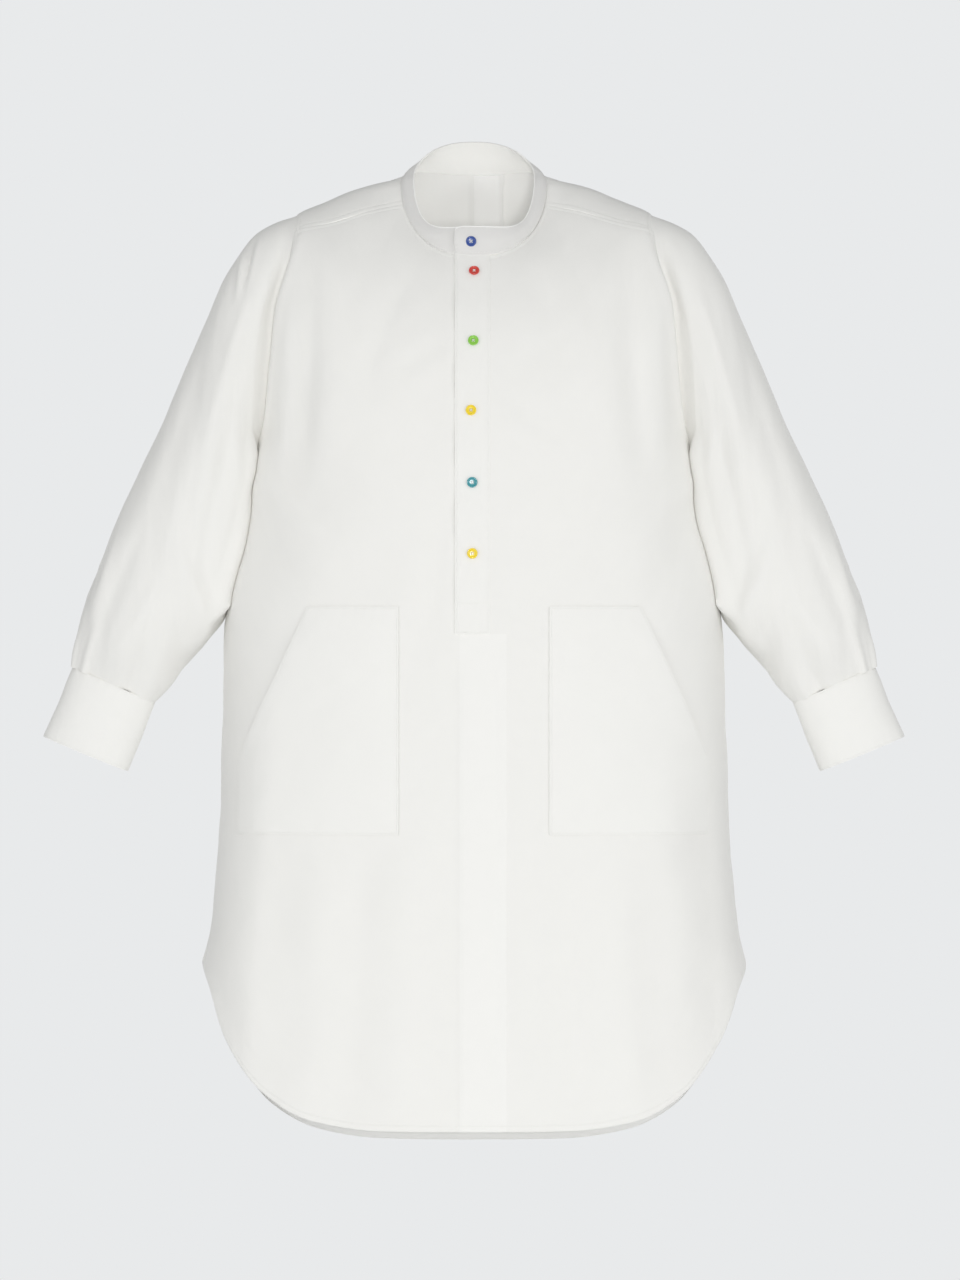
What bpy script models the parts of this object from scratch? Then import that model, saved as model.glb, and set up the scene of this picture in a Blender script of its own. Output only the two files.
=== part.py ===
"""A pop-over nightshirt with a band collar, filled out as worn and hollow.

+Z is up and the front looks towards -Y, so the wearer's left is at +X.
The origin lies midway between the points where the shoulder ridges meet the collar.
All sizes and tables are in millimetres, and the meshes are made in metres.
"""
import math

import bmesh
import bpy
import numpy as np
from mathutils import Matrix, Vector

MM = 0.001

# Cloth: wall thickness, gap at a seam, and gap between two layers that lie on each other
WALL = 1.4
SEAM_GAP = 0.4
LAYER_GAP = 0.35

# Rings of the body, from the neck seam down over the shoulders to the tail.
# Depths are measured from the side seam, and bows curve a ring's edge between side and middle.
RING_COLUMNS = ("half_width", "side_z", "front_depth", "front_z", "back_depth", "back_z",
                "square", "front_bow", "back_bow")
BODY_RINGS = (
    (77, -5, 62, -83, 50, 10, 2.0, -30, 0),
    (114, -10, 80, -112, 77, -36, 2.1, -16, 0),
    (157, -24, 97, -146, 99, -84, 2.2, -6, 0),
    (188, -37, 109, -180, 112, -128, 2.3, 0, 0),
    (210, -63, 116, -213, 119, -170, 2.4, 0, 0),
    (226, -116, 121, -244, 123, -214, 2.5, 0, 0),
    (230, -190, 124, -271, 125, -254, 2.5, 0, 0),
    (228, -285, 126, -302, 125, -300, 2.5, 0, 0),
    (242, -385, 127, -385, 123, -385, 2.5, 0, 0),
    (261, -470, 126, -470, 120, -470, 2.5, 0, 0),
    (264, -580, 124, -580, 117, -580, 2.5, 0, 0),
    (268, -690, 122, -690, 117, -690, 2.5, 0, 0),
    (277, -785, 120, -785, 117, -785, 2.5, 0, 0),
    (285, -830, 119, -830, 117, -830, 2.5, 0, 0),
    (287, -920, 118, -920, 117, -920, 2.5, 0, 0),
    (287, -1030, 118, -1030, 117, -1030, 2.5, 0, 0),
)
UNDERARM_RING = 7

# Rings of the collar band, from the neck seam up to the rim
COLLAR_RINGS = (
    (77, -5, 62, -83, 50, 10, 2.0, -30, 0),
    (71, 2, 61.5, -68, 46, 26.5, 2.15, -34, 5),
    (63, 3, 58, -53, 39, 43.5, 2.35, -38, 5),
)

# Height of the hem at even steps of the angle from the middle to the side seam
HEM_STEP = 15
HEM_COLUMNS = ("front_z", "back_z")
HEM = (
    (-990, -1018),
    (-989, -1016),
    (-980, -1005),
    (-952, -975),
    (-901, -915),
    (-842, -846),
    (-821, -821),
)

# Sleeve sections in the plane of the arm: the outer line, the inner line, and the depth across
SLEEVE_COLUMNS = ("outer_x", "outer_z", "inner_x", "inner_z", "half_depth", "centre_y")
SLEEVE_SECTIONS = (
    (189, -35, 229, -285, 56, 0),
    (227, -54, 231.5, -300, 66, -1),
    (261.5, -103, 233, -309, 73, -2),
    (290, -171, 232.6, -323, 75, -3),
    (316, -231, 235.4, -345, 75, -5),
    (345, -294, 241.5, -377, 72, -7),
    (374, -357, 251, -415, 67, -9),
    (399, -420, 260, -456, 60, -11),
    (413, -467, 287, -492, 52, -12),
    (420, -511, 335, -549, 27, -13),
)
SLEEVE_FADE = 3.0
TUBE_SQUARE = 0.9

# Where the sleeve's mesh rows lie, in section numbers
SLEEVE_ROWS = (0, 0.35, 0.8, 1.4, 2.2, 3.0, 3.8, 4.6, 5.4, 6.2, 7.0, 7.5, 7.9, 8.3, 8.6, 8.85, 9)

# Collar's lap in degrees, and how many laps it takes for a lapping end to lie down again
COLLAR_LAP = 27
LAP_SETTLE = 2.6

# Cuff sections, with the same columns
CUFF_SECTIONS = (
    (420.1, -511.3, 335.1, -549.3, 27, -13),
    (435, -548, 348.5, -585, 27, -13.5),
    (450.5, -584, 363, -620, 27, -14),
)
CUFF_LAP_END = 163
CUFF_LAP = 34
TUCKS = (16, 44)
TUCK_HALF_WIDTH = 9
TUCK_HEIGHT = 3.2

# Armhole: an oval in ring number and angle, with the shoulder seam's end on it
ARMHOLE_TOP = 2.97
ARMHOLE_SQUARE = 0.8
ARMHOLE_FRONT = 24
ARMHOLE_BACK = 20
SEAM_TURN = 15
SHOULDER_SEAM_BOW = 5
UNDERARM_CLEARANCE = 0.9

# Placket: two bands over a slit in the front
PLACKET_LEFT = -19.5
PLACKET_RIGHT = 16.5
SLIT_LEFT = -17.5
SLIT_RIGHT = 14.5
PLACKET_END_Z = -477
SLIT_END_Z = -470
PLACKET_TOP_INSET = 1.6

# Pocket outline on the wearer's left, seen from the front
POCKET_INNER = 77.5
POCKET_TOP = -448.5
POCKET_CORNER = 172
POCKET_OUTER = 245
POCKET_SLANT_END = -609
POCKET_BOTTOM = -684

# Soft pleat below the placket, and the inverted pleat at the middle of the back
FRONT_PLEAT = {"left": -14.5, "right": 28.5, "edge": 5, "height": 2.6, "start": 482, "full": 540}
BACK_PLEAT = {"half_box": 17, "groove": 2.6, "narrow": 5, "wide": 17, "widened": 400,
              "fade": 300, "end": 520, "box_fade": 150}
PLEAT_BOX_WALL = 1.5
PLEAT_BOX_EDGE = 3

# Buttons: four holes, sewn on the upper band and on the collar
BUTTON_RADIUS = 5.5
BUTTON_HEIGHT = 2.2
BUTTON_WELL = 0.6
HOLE_RADIUS = 0.8
HOLE_SPACING = 1.45
BUTTONS = (
    ("button_1", -2.5, -69, (0.04, 0.09, 0.33)),
    ("button_2", 0.2, -101.5, (0.62, 0.04, 0.03)),
    ("button_3", -0.6, -175, (0.26, 0.60, 0.07)),
    ("button_4", -3, -247, (0.85, 0.66, 0.02)),
    ("button_5", -1.7, -321, (0.05, 0.30, 0.34)),
    ("button_6", -1.6, -394, (0.85, 0.66, 0.02)),
)

# Mesh lines: columns by the middle, steps on the sides, and the heights of the middle's rows
FRONT_COLUMNS = (-42, -33, -24, PLACKET_LEFT, SLIT_LEFT, -9.5, -1.5, 6.5,
                 SLIT_RIGHT, PLACKET_RIGHT, 24, 33, 42)
BACK_COLUMNS = (-42, -31, -20, -17, -5, 0, 5, 17, 20, 31, 42)
FRONT_ROWS = (-990, -930, -865, -800, -735, -670, -605, -545, PLACKET_END_Z, SLIT_END_Z, -385, -302)
BACK_ROWS = (-1018, -955, -890, -825, -760, -695, -630, -565, -500, -435, -367, -300)
NECK_STEPS = 4
SEAM_STEPS = 5
SIDE_STEPS = NECK_STEPS + SEAM_STEPS
FLAP_ROWS = 2
SETTLE_STEPS = 30
SETTLE_SHARE = 0.6
PROBE = 0.04
SKEWED = 0.8
ARMHOLE_STEPS = 11
CUFF_STEPS = 22
CUFF_LAP_STEPS = 3
BAND_ROWS = 5

CLOTH_COLOUR = (0.84, 0.84, 0.80)


def smooth_column(values):
    """Values and slopes of a curve through one table column that never overshoots."""
    values = np.asarray(values, float)
    steps = np.diff(values)
    slopes = np.concatenate((steps[:1], np.zeros(len(steps) - 1), steps[-1:]))
    for i in range(1, len(steps)):
        product = steps[i - 1] * steps[i]
        if product > 0:
            slopes[i] = 2 * product / (steps[i - 1] + steps[i])
    return values, slopes


def table(columns, rows):
    """A table as one smooth column for each name."""
    return {name: smooth_column(values) for name, values in zip(columns, zip(*rows))}


def read(column, place):
    """A smooth column's value at any place between its rows."""
    values, slopes = column
    low = np.clip(np.floor(place).astype(int), 0, len(values) - 2)
    t = place - low
    start = (1 + 2 * t) * (1 - t) ** 2 * values[low] + t * (1 - t) ** 2 * slopes[low]
    return start + t * t * (3 - 2 * t) * values[low + 1] + t * t * (t - 1) * slopes[low + 1]


def power(value, exponent):
    """A power that keeps the sign."""
    return np.sign(value) * np.abs(value) ** exponent


def ramp(value, start, end):
    """A soft step from 0 at the start to 1 at the end."""
    t = np.clip((value - start) / (end - start), 0, 1)
    return t * t * (3 - 2 * t)


def unit(vectors):
    return vectors / np.maximum(np.linalg.norm(vectors, axis=-1, keepdims=True), 1e-9)


BODY = table(RING_COLUMNS, BODY_RINGS)
COLLAR = table(RING_COLUMNS, COLLAR_RINGS)
SLEEVE = table(SLEEVE_COLUMNS, SLEEVE_SECTIONS)
CUFF = table(SLEEVE_COLUMNS, CUFF_SECTIONS)
HEM_CURVE = table(HEM_COLUMNS, HEM)


def ring_point(rings, angle, place):
    """A point on a stack of rings. The angle is 0 at the front and 90 at the +X side."""
    row = {name: read(column, place) for name, column in rings.items()}
    sine = np.sin(np.radians(angle))
    cosine = np.cos(np.radians(angle))
    exponent = 2 / row["square"]
    front = cosine > 0
    depth = np.where(front, row["front_depth"], row["back_depth"])
    bow = np.where(front, row["front_bow"], row["back_bow"])
    tilt = (row["front_z"] - row["back_z"]) / 2
    dish = (row["front_z"] + row["back_z"]) / 2 - row["side_z"]
    x = row["half_width"] * power(sine, exponent)
    y = -depth * power(cosine, exponent)
    z = row["side_z"] + tilt * cosine + dish * cosine ** 2 + bow * cosine * (1 - cosine ** 2)
    return np.stack((x, y, z), axis=-1)


def ring_slopes(rings, angle, place):
    """How a point on the rings moves with one degree, and with one ring."""
    half = PROBE / 2
    turn = ring_point(rings, angle + 0.5, place) - ring_point(rings, angle - 0.5, place)
    fall = ring_point(rings, angle, place + half) - ring_point(rings, angle, place - half)
    return turn, fall / PROBE


def ring_normal(rings, angle, place):
    """The outward direction on a stack of rings whose places run downwards."""
    turn, fall = ring_slopes(rings, angle, place)
    return unit(np.cross(fall, turn))


def front_pleat(x, z):
    """Height of the soft pleat that falls from the placket."""
    edge = FRONT_PLEAT["edge"]
    rise = ramp(x, FRONT_PLEAT["left"] - edge, FRONT_PLEAT["left"] + edge)
    drop = ramp(x, FRONT_PLEAT["right"] - edge, FRONT_PLEAT["right"] + edge)
    fade = ramp(-z, FRONT_PLEAT["start"], FRONT_PLEAT["full"])
    return FRONT_PLEAT["height"] * rise * (1 - drop) * fade


def back_groove(x, z):
    """Depth of the slit where the folds of the back pleat meet, which opens downwards."""
    widening = ramp(-z, 0, BACK_PLEAT["widened"])
    open_width = BACK_PLEAT["narrow"] + (BACK_PLEAT["wide"] - BACK_PLEAT["narrow"]) * widening
    fade = 1 - ramp(-z, BACK_PLEAT["fade"], BACK_PLEAT["end"])
    return BACK_PLEAT["groove"] * np.clip(1 - np.abs(x) / open_width, 0, 1) * fade


def pleat_box(x, z):
    """Extra cloth inside the back where the pleat is folded."""
    half = BACK_PLEAT["half_box"]
    side = 1 - ramp(np.abs(x), half, half + PLEAT_BOX_EDGE)
    return PLEAT_BOX_WALL * side * (1 - ramp(-z, BACK_PLEAT["box_fade"], BACK_PLEAT["fade"]))


def place_at(name, height):
    """Ring number at which a body column has this height."""
    places = np.linspace(0, len(BODY_RINGS) - 1, 4000)
    return np.interp(-np.asarray(height, float), -read(BODY[name], places), places)


def angle_at(x, place, back=False):
    """Angle at which a body ring passes this x."""
    share = np.asarray(x, float) / read(BODY["half_width"], place)
    angle = np.degrees(np.arcsin(power(share, read(BODY["square"], place) / 2)))
    return 180 - angle if back else angle


def armhole(turn):
    """Angle and ring on the armhole: turn 0 on the shoulder, 180 under the arm, front first."""
    turn = np.radians(turn)
    middle = (ARMHOLE_TOP + UNDERARM_RING) / 2
    half = (UNDERARM_RING - ARMHOLE_TOP) / 2
    reach = np.where(np.sin(turn) > 0, ARMHOLE_FRONT, ARMHOLE_BACK)
    angle = 90 - reach * power(np.sin(turn), ARMHOLE_SQUARE)
    place = middle - half * power(np.cos(turn), ARMHOLE_SQUARE)
    return np.stack((angle, place), axis=-1)


SEAM_END = math.degrees(math.asin((SEAM_TURN / ARMHOLE_FRONT) ** (1 / ARMHOLE_SQUARE)))
FRONT_TURNS = np.concatenate((np.linspace(0, SEAM_END, FLAP_ROWS + 1)[:-1],
                              np.linspace(SEAM_END, 180, ARMHOLE_STEPS - 1)))
BACK_TURNS = np.linspace(-180, 0, ARMHOLE_STEPS + 1)


def shoulder_seam(share):
    """Angle and ring along the forward shoulder seam, from the neck to the armhole."""
    end_place = armhole(SEAM_END)[1]
    angle = 90 - SEAM_TURN - SHOULDER_SEAM_BOW * np.sin(math.pi * share)
    return np.stack((angle, share * end_place), axis=-1)


def coons(bottom, top, left, right):
    """Fill a four-sided patch from its edges. Rows run from bottom to top."""
    u = np.linspace(0, 1, len(bottom))[None, :, None]
    v = np.linspace(0, 1, len(left))[:, None, None]
    across = (1 - v) * bottom[None] + v * top[None]
    along = (1 - u) * left[:, None] + u * right[:, None]
    low = (1 - u) * bottom[0] + u * bottom[-1]
    high = (1 - u) * top[0] + u * top[-1]
    return across + along - (1 - v) * low - v * high


def settle(targets, grid):
    """Slide each angle and ring until its point on the body is the nearest to its target."""
    for _ in range(SETTLE_STEPS):
        angle, place = grid[..., 0], grid[..., 1]
        miss = targets - ring_point(BODY, angle, place)
        turn, fall = ring_slopes(BODY, angle, place)
        turn_turn, turn_fall, fall_fall = (np.sum(a * b, axis=-1) for a, b in
                                           ((turn, turn), (turn, fall), (fall, fall)))
        turn_miss, fall_miss = np.sum(turn * miss, axis=-1), np.sum(fall * miss, axis=-1)
        area = turn_turn * fall_fall - turn_fall ** 2
        step = np.stack(((fall_fall * turn_miss - turn_fall * fall_miss) / area,
                         (turn_turn * fall_miss - turn_fall * turn_miss) / area), axis=-1)
        grid = grid + SETTLE_SHARE * step
    return grid


def side_patch(back):
    """Angles and rings of one half panel beside its middle columns, on the +X side."""
    inner_x = (BACK_COLUMNS if back else FRONT_COLUMNS)[-1]
    name = "back_z" if back else "front_z"
    middle_rows = BACK_ROWS if back else FRONT_ROWS
    lower_left = place_at(name, middle_rows)
    turns = BACK_TURNS if back else FRONT_TURNS[FLAP_ROWS:][::-1]
    upper_left = np.linspace(lower_left[-1], 0, len(turns))

    def beside_middle(places):
        return np.stack((angle_at(inner_x, places, back), places), axis=-1)

    side_z = np.linspace(HEM[-1][0], BODY_RINGS[UNDERARM_RING][1], len(middle_rows))
    side_seam = np.stack((np.full(len(side_z), 90.0), place_at("side_z", side_z)), axis=-1)
    lower_middle = beside_middle(lower_left)
    hem_angles = np.linspace(lower_middle[0][0], 90, SIDE_STEPS + 1)
    hem_z = read(HEM_CURVE[name], (180 - hem_angles if back else hem_angles) / HEM_STEP)
    hem = np.stack((hem_angles, place_at("side_z", hem_z)), axis=-1)
    lower_middle[0] = hem[0]
    underarm = np.linspace(lower_middle[-1], side_seam[-1], SIDE_STEPS + 1)
    lower = coons(hem, underarm, lower_middle, side_seam)

    upper_middle = beside_middle(upper_left)
    neck_end = 90 if back else 90 - SEAM_TURN
    neck = np.linspace(upper_middle[-1], (neck_end, 0), NECK_STEPS + 1)
    seam_share = np.linspace(0, 1, SEAM_STEPS + 1)
    ridge = np.stack((np.full(SEAM_STEPS + 1, 90.0), seam_share * ARMHOLE_TOP), axis=-1)
    seam = shoulder_seam(seam_share)
    top = np.concatenate((neck, (ridge if back else seam)[1:]))
    edges = (underarm, top, upper_middle, armhole(turns))
    targets = coons(*(ring_point(BODY, edge[:, 0], edge[:, 1]) for edge in edges))
    upper = coons(*edges)
    upper[1:-1, 1:-1] = settle(targets, upper)[1:-1, 1:-1]
    patch = np.concatenate((lower, upper[1:]))
    if back:
        turn_over = np.linspace((90, 0), (90 - SEAM_TURN, 0), FLAP_ROWS + 1)
        flap = coons(ridge, seam, turn_over, armhole(FRONT_TURNS[:FLAP_ROWS + 1]))
        beside = np.repeat(top[None, :NECK_STEPS], FLAP_ROWS, axis=0)
        patch = np.concatenate((patch, np.concatenate((beside, flap[1:]), axis=1)))
    return patch


def panel_grid(back):
    """Angles and rings of a whole panel, from its -X side to its +X side."""
    columns = BACK_COLUMNS if back else FRONT_COLUMNS
    right = side_patch(back)
    left = right[:, ::-1].copy()
    left[..., 0] = -left[..., 0]
    places = right[:, 0, 1]
    middle = []
    for x in columns[1:-1]:
        angles = angle_at(x, places, back)
        middle.append(np.stack((angles, places), axis=-1))
    middle = np.stack(middle, axis=1)
    if back:
        left[..., 0] += 360
    return np.concatenate((left, middle, right), axis=1)


def inset(moved, points, edge, inside, distance=SEAM_GAP / 2):
    """Draw one edge of a grid in towards the points beside it."""
    moved[edge] += unit(points[inside] - points[edge]) * distance


ALL = slice(None)
BOTTOM = ((0, ALL), (1, ALL))
TOP = ((-1, ALL), (-2, ALL))
START = ((ALL, 0), (ALL, 1))
END = ((ALL, -1), (ALL, -2))


def inset_panel(points, back):
    """Draw a panel in at its neck, shoulder, armhole and side seams."""
    moved = points.copy()
    inset(moved, points, *START)
    inset(moved, points, *END)
    if back:
        neck_row = -1 - FLAP_ROWS
        neck = slice(SEAM_STEPS + 1, -SEAM_STEPS - 1)
        inset(moved, points, (neck_row, neck), (neck_row - 1, neck))
        for beside, step in ((SEAM_STEPS, -1), (-SEAM_STEPS - 1, 1)):
            turned = slice(neck_row, None)
            inset(moved, points, (turned, beside), (turned, beside + step))
        for seam in (slice(0, SEAM_STEPS + 1), slice(-SEAM_STEPS - 1, None)):
            inset(moved, points, (-1, seam), (-2, seam))
    else:
        inset(moved, points, *TOP)
    return moved


def panel_points(back):
    """Outer points, outward directions and wall thickness of a body panel."""
    grid = panel_grid(back)
    angle, place = grid[..., 0], grid[..., 1]
    points = ring_point(BODY, angle, place)
    normals = ring_normal(BODY, angle, place)
    x, z = points[..., 0], points[..., 2]
    if back:
        fold = -back_groove(x, z)
        wall = WALL + pleat_box(x, z)
    else:
        fold = front_pleat(x, z)
        wall = np.full(x.shape, WALL)
    points = points + normals * fold[..., None]
    return inset_panel(points, back), normals, wall


def sheet_faces(points, keep=None, closed=False):
    """Triangles over the kept cells of a grid. A skewed cell is split along its short diagonal."""
    rows, columns = points.shape[:2]
    cells = columns if closed else columns - 1
    flat = points.reshape(-1, 3)
    faces = []
    for i in range(rows - 1):
        for j in range(cells):
            if keep is None or keep[i, j]:
                k = (j + 1) % columns
                a, b = i * columns + j, i * columns + k
                c, d = (i + 1) * columns + k, (i + 1) * columns + j
                length = np.linalg.norm(flat[c] - flat[a])
                other = np.linalg.norm(flat[d] - flat[b])
                if other < SKEWED * length:
                    faces += [[a, b, d], [b, c, d]]
                else:
                    faces += [[a, b, c], [a, c, d]]
    return faces


def wall_body(outer, inner, faces):
    """Close two matching sheets into one wall along their open edges."""
    count = len(outer)
    solid = [list(face) for face in faces]
    solid += [[index + count for index in reversed(face)] for face in faces]
    edges = {(face[i - 1], face[i]) for face in faces for i in range(len(face))}
    for a, b in sorted(edges):
        if (b, a) not in edges:
            solid += [[b, a, a + count], [b, a + count, b + count]]
    return np.concatenate((outer, inner)), solid


def make_material(name, colour, roughness):
    material = bpy.data.materials.get(name)
    if material is None:
        material = bpy.data.materials.new(name)
        material.use_nodes = True
        shader = material.node_tree.nodes["Principled BSDF"]
        shader.inputs["Base Color"].default_value = (*colour, 1)
        shader.inputs["Roughness"].default_value = roughness
        shader.inputs["Metallic"].default_value = 0
    return material


def finish_object(name, mesh, material):
    """Put a mesh in the scene, smooth but for its cut edges."""
    mesh.materials.append(material)
    mesh.shade_smooth()
    mesh.set_sharp_from_angle(angle=math.radians(50))
    piece = bpy.data.objects.new(name, mesh)
    bpy.context.scene.collection.objects.link(piece)
    return piece


def make_cloth(name, points, faces):
    """A cloth piece from points in millimetres and triangles."""
    shape = bmesh.new()
    vertices = [shape.verts.new(Vector(point) * MM) for point in points.tolist()]
    for face in faces:
        shape.faces.new([vertices[index] for index in face])
    unused = [vertex for vertex in shape.verts if not vertex.link_faces]
    bmesh.ops.delete(shape, geom=unused, context="VERTS")
    bmesh.ops.recalc_face_normals(shape, faces=shape.faces)
    mesh = bpy.data.meshes.new(name)
    shape.to_mesh(mesh)
    shape.free()
    return finish_object(name, mesh, make_material("white_cotton", CLOTH_COLOUR, 0.85))


def make_sheet(name, outer, inner, keep=None, closed=False):
    """A cloth wall from two grids of points."""
    faces = sheet_faces(outer, keep, closed)
    points, solid = wall_body(outer.reshape(-1, 3), inner.reshape(-1, 3), faces)
    return make_cloth(name, points, solid)


def slit_columns(left, right):
    """Index in the front's grid of two of its middle columns."""
    return SIDE_STEPS + FRONT_COLUMNS.index(left), SIDE_STEPS + FRONT_COLUMNS.index(right)


def make_front(points, normals, wall):
    slit_row = FRONT_ROWS.index(SLIT_END_Z)
    first, last = slit_columns(SLIT_LEFT, SLIT_RIGHT)
    keep = np.ones((points.shape[0] - 1, points.shape[1] - 1), bool)
    keep[slit_row:, first:last] = False
    return make_sheet("front", points, points - normals * wall[..., None], keep)


def make_plackets(points, normals):
    """The under band fills the slit, and the over band lies on the front."""
    row = FRONT_ROWS.index(SLIT_END_Z)
    first, last = slit_columns(SLIT_LEFT, SLIT_RIGHT)
    slit = points[row:, first:last + 1]
    under = slit.copy()
    for edge in (BOTTOM, START, END):
        inset(under, slit, *edge, distance=SEAM_GAP)
    make_sheet("placket_under", under, under - normals[row:, first:last + 1] * WALL)
    row = FRONT_ROWS.index(PLACKET_END_Z)
    first, last = slit_columns(PLACKET_LEFT, PLACKET_RIGHT)
    over = points[row:, first:last + 1].copy()
    inset(over, over.copy(), *TOP, distance=PLACKET_TOP_INSET)
    away = normals[row:, first:last + 1]
    make_sheet("placket_over", over + away * (LAYER_GAP + WALL), over + away * LAYER_GAP)


def trim(points, faces, normal, limit):
    """Keep the part of a sheet where the flat direction's reach is under the limit."""
    reach = points[:, 0] * normal[0] + points[:, 2] * normal[1] - limit
    reach[np.abs(reach) < 1.0] = 0.0
    points = list(points)
    cuts = {}

    def cut(a, b):
        key = (min(a, b), max(a, b))
        if key not in cuts:
            share = reach[key[0]] / (reach[key[0]] - reach[key[1]])
            points.append(points[key[0]] + (points[key[1]] - points[key[0]]) * share)
            cuts[key] = len(points) - 1
        return cuts[key]

    kept = []
    for face in faces:
        outline = []
        for a, b in zip(face, face[1:] + face[:1]):
            if reach[a] <= 0:
                outline.append(a)
            if reach[a] * reach[b] < 0:
                outline.append(cut(a, b))
        if len(outline) > 2 and any(reach[a] < 0 for a in face):
            kept.append(outline)
    return np.array(points), kept


def make_pocket(name, points, normals, side):
    """A patch that follows the front's own facets, a little way off them."""
    together = np.concatenate((points, normals), axis=-1).reshape(-1, 6)
    faces = sheet_faces(points)
    slant = np.array([POCKET_CORNER - POCKET_OUTER, POCKET_TOP - POCKET_SLANT_END], float)
    across = np.array([slant[1], -slant[0]]) / np.linalg.norm(slant)
    outline = (
        ((-1, 0), -POCKET_INNER),
        ((1, 0), POCKET_OUTER),
        ((0, 1), POCKET_TOP),
        ((0, -1), -POCKET_BOTTOM),
        (across, POCKET_CORNER * across[0] + POCKET_TOP * across[1]),
    )
    for normal, limit in outline:
        together, faces = trim(together, faces, (normal[0] * side, normal[1]), limit)
    triangles = [[face[0], face[i], face[i + 1]] for face in faces for i in range(1, len(face) - 1)]
    base, away = together[:, :3], unit(together[:, 3:])
    outer = base + away * (LAYER_GAP + WALL)
    solid_points, solid = wall_body(outer, base + away * LAYER_GAP, triangles)
    return make_cloth(name, solid_points, solid)


def tube_point(sections, turn, place):
    """A point on a sleeve or cuff: turn 0 on the outer line, 90 at the front, 180 inside."""
    row = {name: read(column, place) for name, column in sections.items()}
    cosine, sine = np.cos(np.radians(turn)), np.sin(np.radians(turn))
    x = (row["outer_x"] + row["inner_x"]) / 2 + (row["outer_x"] - row["inner_x"]) / 2 * cosine
    z = (row["outer_z"] + row["inner_z"]) / 2 + (row["outer_z"] - row["inner_z"]) / 2 * cosine
    y = row["centre_y"] - row["half_depth"] * power(sine, TUBE_SQUARE)
    return np.stack((x, y, z), axis=-1)


def armhole_point(turn):
    """The sleeve's edge on the armhole, just clear of the body under the arm."""
    grid = armhole(turn)
    points = ring_point(BODY, grid[..., 0], grid[..., 1])
    normals = ring_normal(BODY, grid[..., 0], grid[..., 1])
    under = np.clip(-np.cos(np.radians(turn)) + 0.3, 0, 1)
    return points + normals * (UNDERARM_CLEARANCE * under)[..., None]


def sleeve_point(turn, place):
    """A point on the sleeve, which starts on the armhole and settles into its own sections."""
    tube = tube_point(SLEEVE, turn, place)
    fade = np.clip(1 - place / SLEEVE_FADE, 0, 1) ** 2
    start = armhole_point(turn) - tube_point(SLEEVE, turn, np.zeros_like(place))
    return tube + start * fade[..., None]


def tube_normal(point, turn, place):
    """The outward direction on a tube given by its point function."""
    around = point(turn + 0.5, place) - point(turn - 0.5, place)
    down = point(turn, place + PROBE / 2) - point(turn, np.maximum(place - PROBE / 2, 0))
    return unit(np.cross(around, down))


def tuck_height(turn, place):
    """Ridges of the tucks that take the sleeve into the cuff."""
    last = len(SLEEVE_SECTIONS) - 1
    height = np.zeros_like(place)
    for centre in TUCKS:
        share = np.clip(1 - np.abs(turn - centre) / TUCK_HALF_WIDTH, 0, 1)
        height = height + TUCK_HEIGHT * share
    return height * ramp(place, last - 1.3, last - 0.3)


def mirror(points, side):
    return points * np.array([side, 1, 1])


def make_sleeve(name, side):
    last = len(SLEEVE_SECTIONS) - 1
    tuck_turns = [centre + step for centre in TUCKS for step in (-TUCK_HALF_WIDTH, 0, TUCK_HALF_WIDTH)]
    turns = np.concatenate((BACK_TURNS[1:-1], FRONT_TURNS))
    turn, place = np.meshgrid(turns, SLEEVE_ROWS)
    slide = ramp(place, last - 3.0, last - 1.4)
    nearest = [min(range(len(turns)), key=lambda i: abs(turns[i] - want)) for want in tuck_turns]
    for index, want in zip(nearest, tuck_turns):
        turn[:, index] += (want - turns[index]) * slide[:, index]
    points = sleeve_point(turn, place)
    normals = tube_normal(sleeve_point, turn, place)
    points = points + normals * tuck_height(turn, place)[..., None]
    edge = armhole(turns)
    body_side = ring_normal(BODY, edge[..., 0], edge[..., 1])
    along = np.sum(normals[0] * body_side, axis=-1) > 0.2
    normals[0] = np.where(along[:, None], body_side, normals[0])
    points[0] += unit(points[1] - points[0]) * SEAM_GAP / 2
    points[-1] += unit(points[-2] - points[-1]) * SEAM_GAP / 2
    inner = points - normals * WALL
    return make_sheet(name, mirror(points, side), mirror(inner, side), closed=True)


def lap_raise(from_end, span):
    """How far the lapping end of a band stands off the end below it."""
    return (WALL + LAYER_GAP) * (1 - ramp(from_end, span, LAP_SETTLE * span))


def make_cuff(name, side):
    """A band round the wrist whose front end laps over its other end."""
    lapped = np.linspace(CUFF_LAP_END - CUFF_LAP, CUFF_LAP_END, CUFF_LAP_STEPS + 1)
    round_wrist = np.linspace(CUFF_LAP_END, CUFF_LAP_END + 360 - CUFF_LAP, CUFF_STEPS + 1)[1:-1]
    turns = np.concatenate((lapped, round_wrist, lapped + 360))
    places = np.linspace(0, len(CUFF_SECTIONS) - 1, BAND_ROWS)
    turn, place = np.meshgrid(turns, places)

    def point(turn_value, place_value):
        return tube_point(CUFF, turn_value, place_value)

    points = point(turn, place)
    normals = tube_normal(point, turn, place)
    stand_off = lap_raise(turns[-1] - turns, CUFF_LAP)
    points = points + normals * stand_off[None, :, None]
    return make_sheet(name, mirror(points, side), mirror(points - normals * WALL, side))


def neck_angles():
    """Angles round the neck seam, from the collar's upper end to its lower end."""
    front, back = panel_grid(False)[-1, :, 0], panel_grid(True)[-1 - FLAP_ROWS, ::-1, 0]
    first, last = slit_columns(PLACKET_LEFT, PLACKET_RIGHT)
    turned = np.linspace(90 - SEAM_TURN, 90, FLAP_ROWS + 1)[1:-1]
    return np.concatenate((front[first:-SEAM_STEPS], turned, back[SEAM_STEPS:-SEAM_STEPS],
                           360 - turned[::-1], front[SEAM_STEPS:last + 1] + 360))


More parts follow.
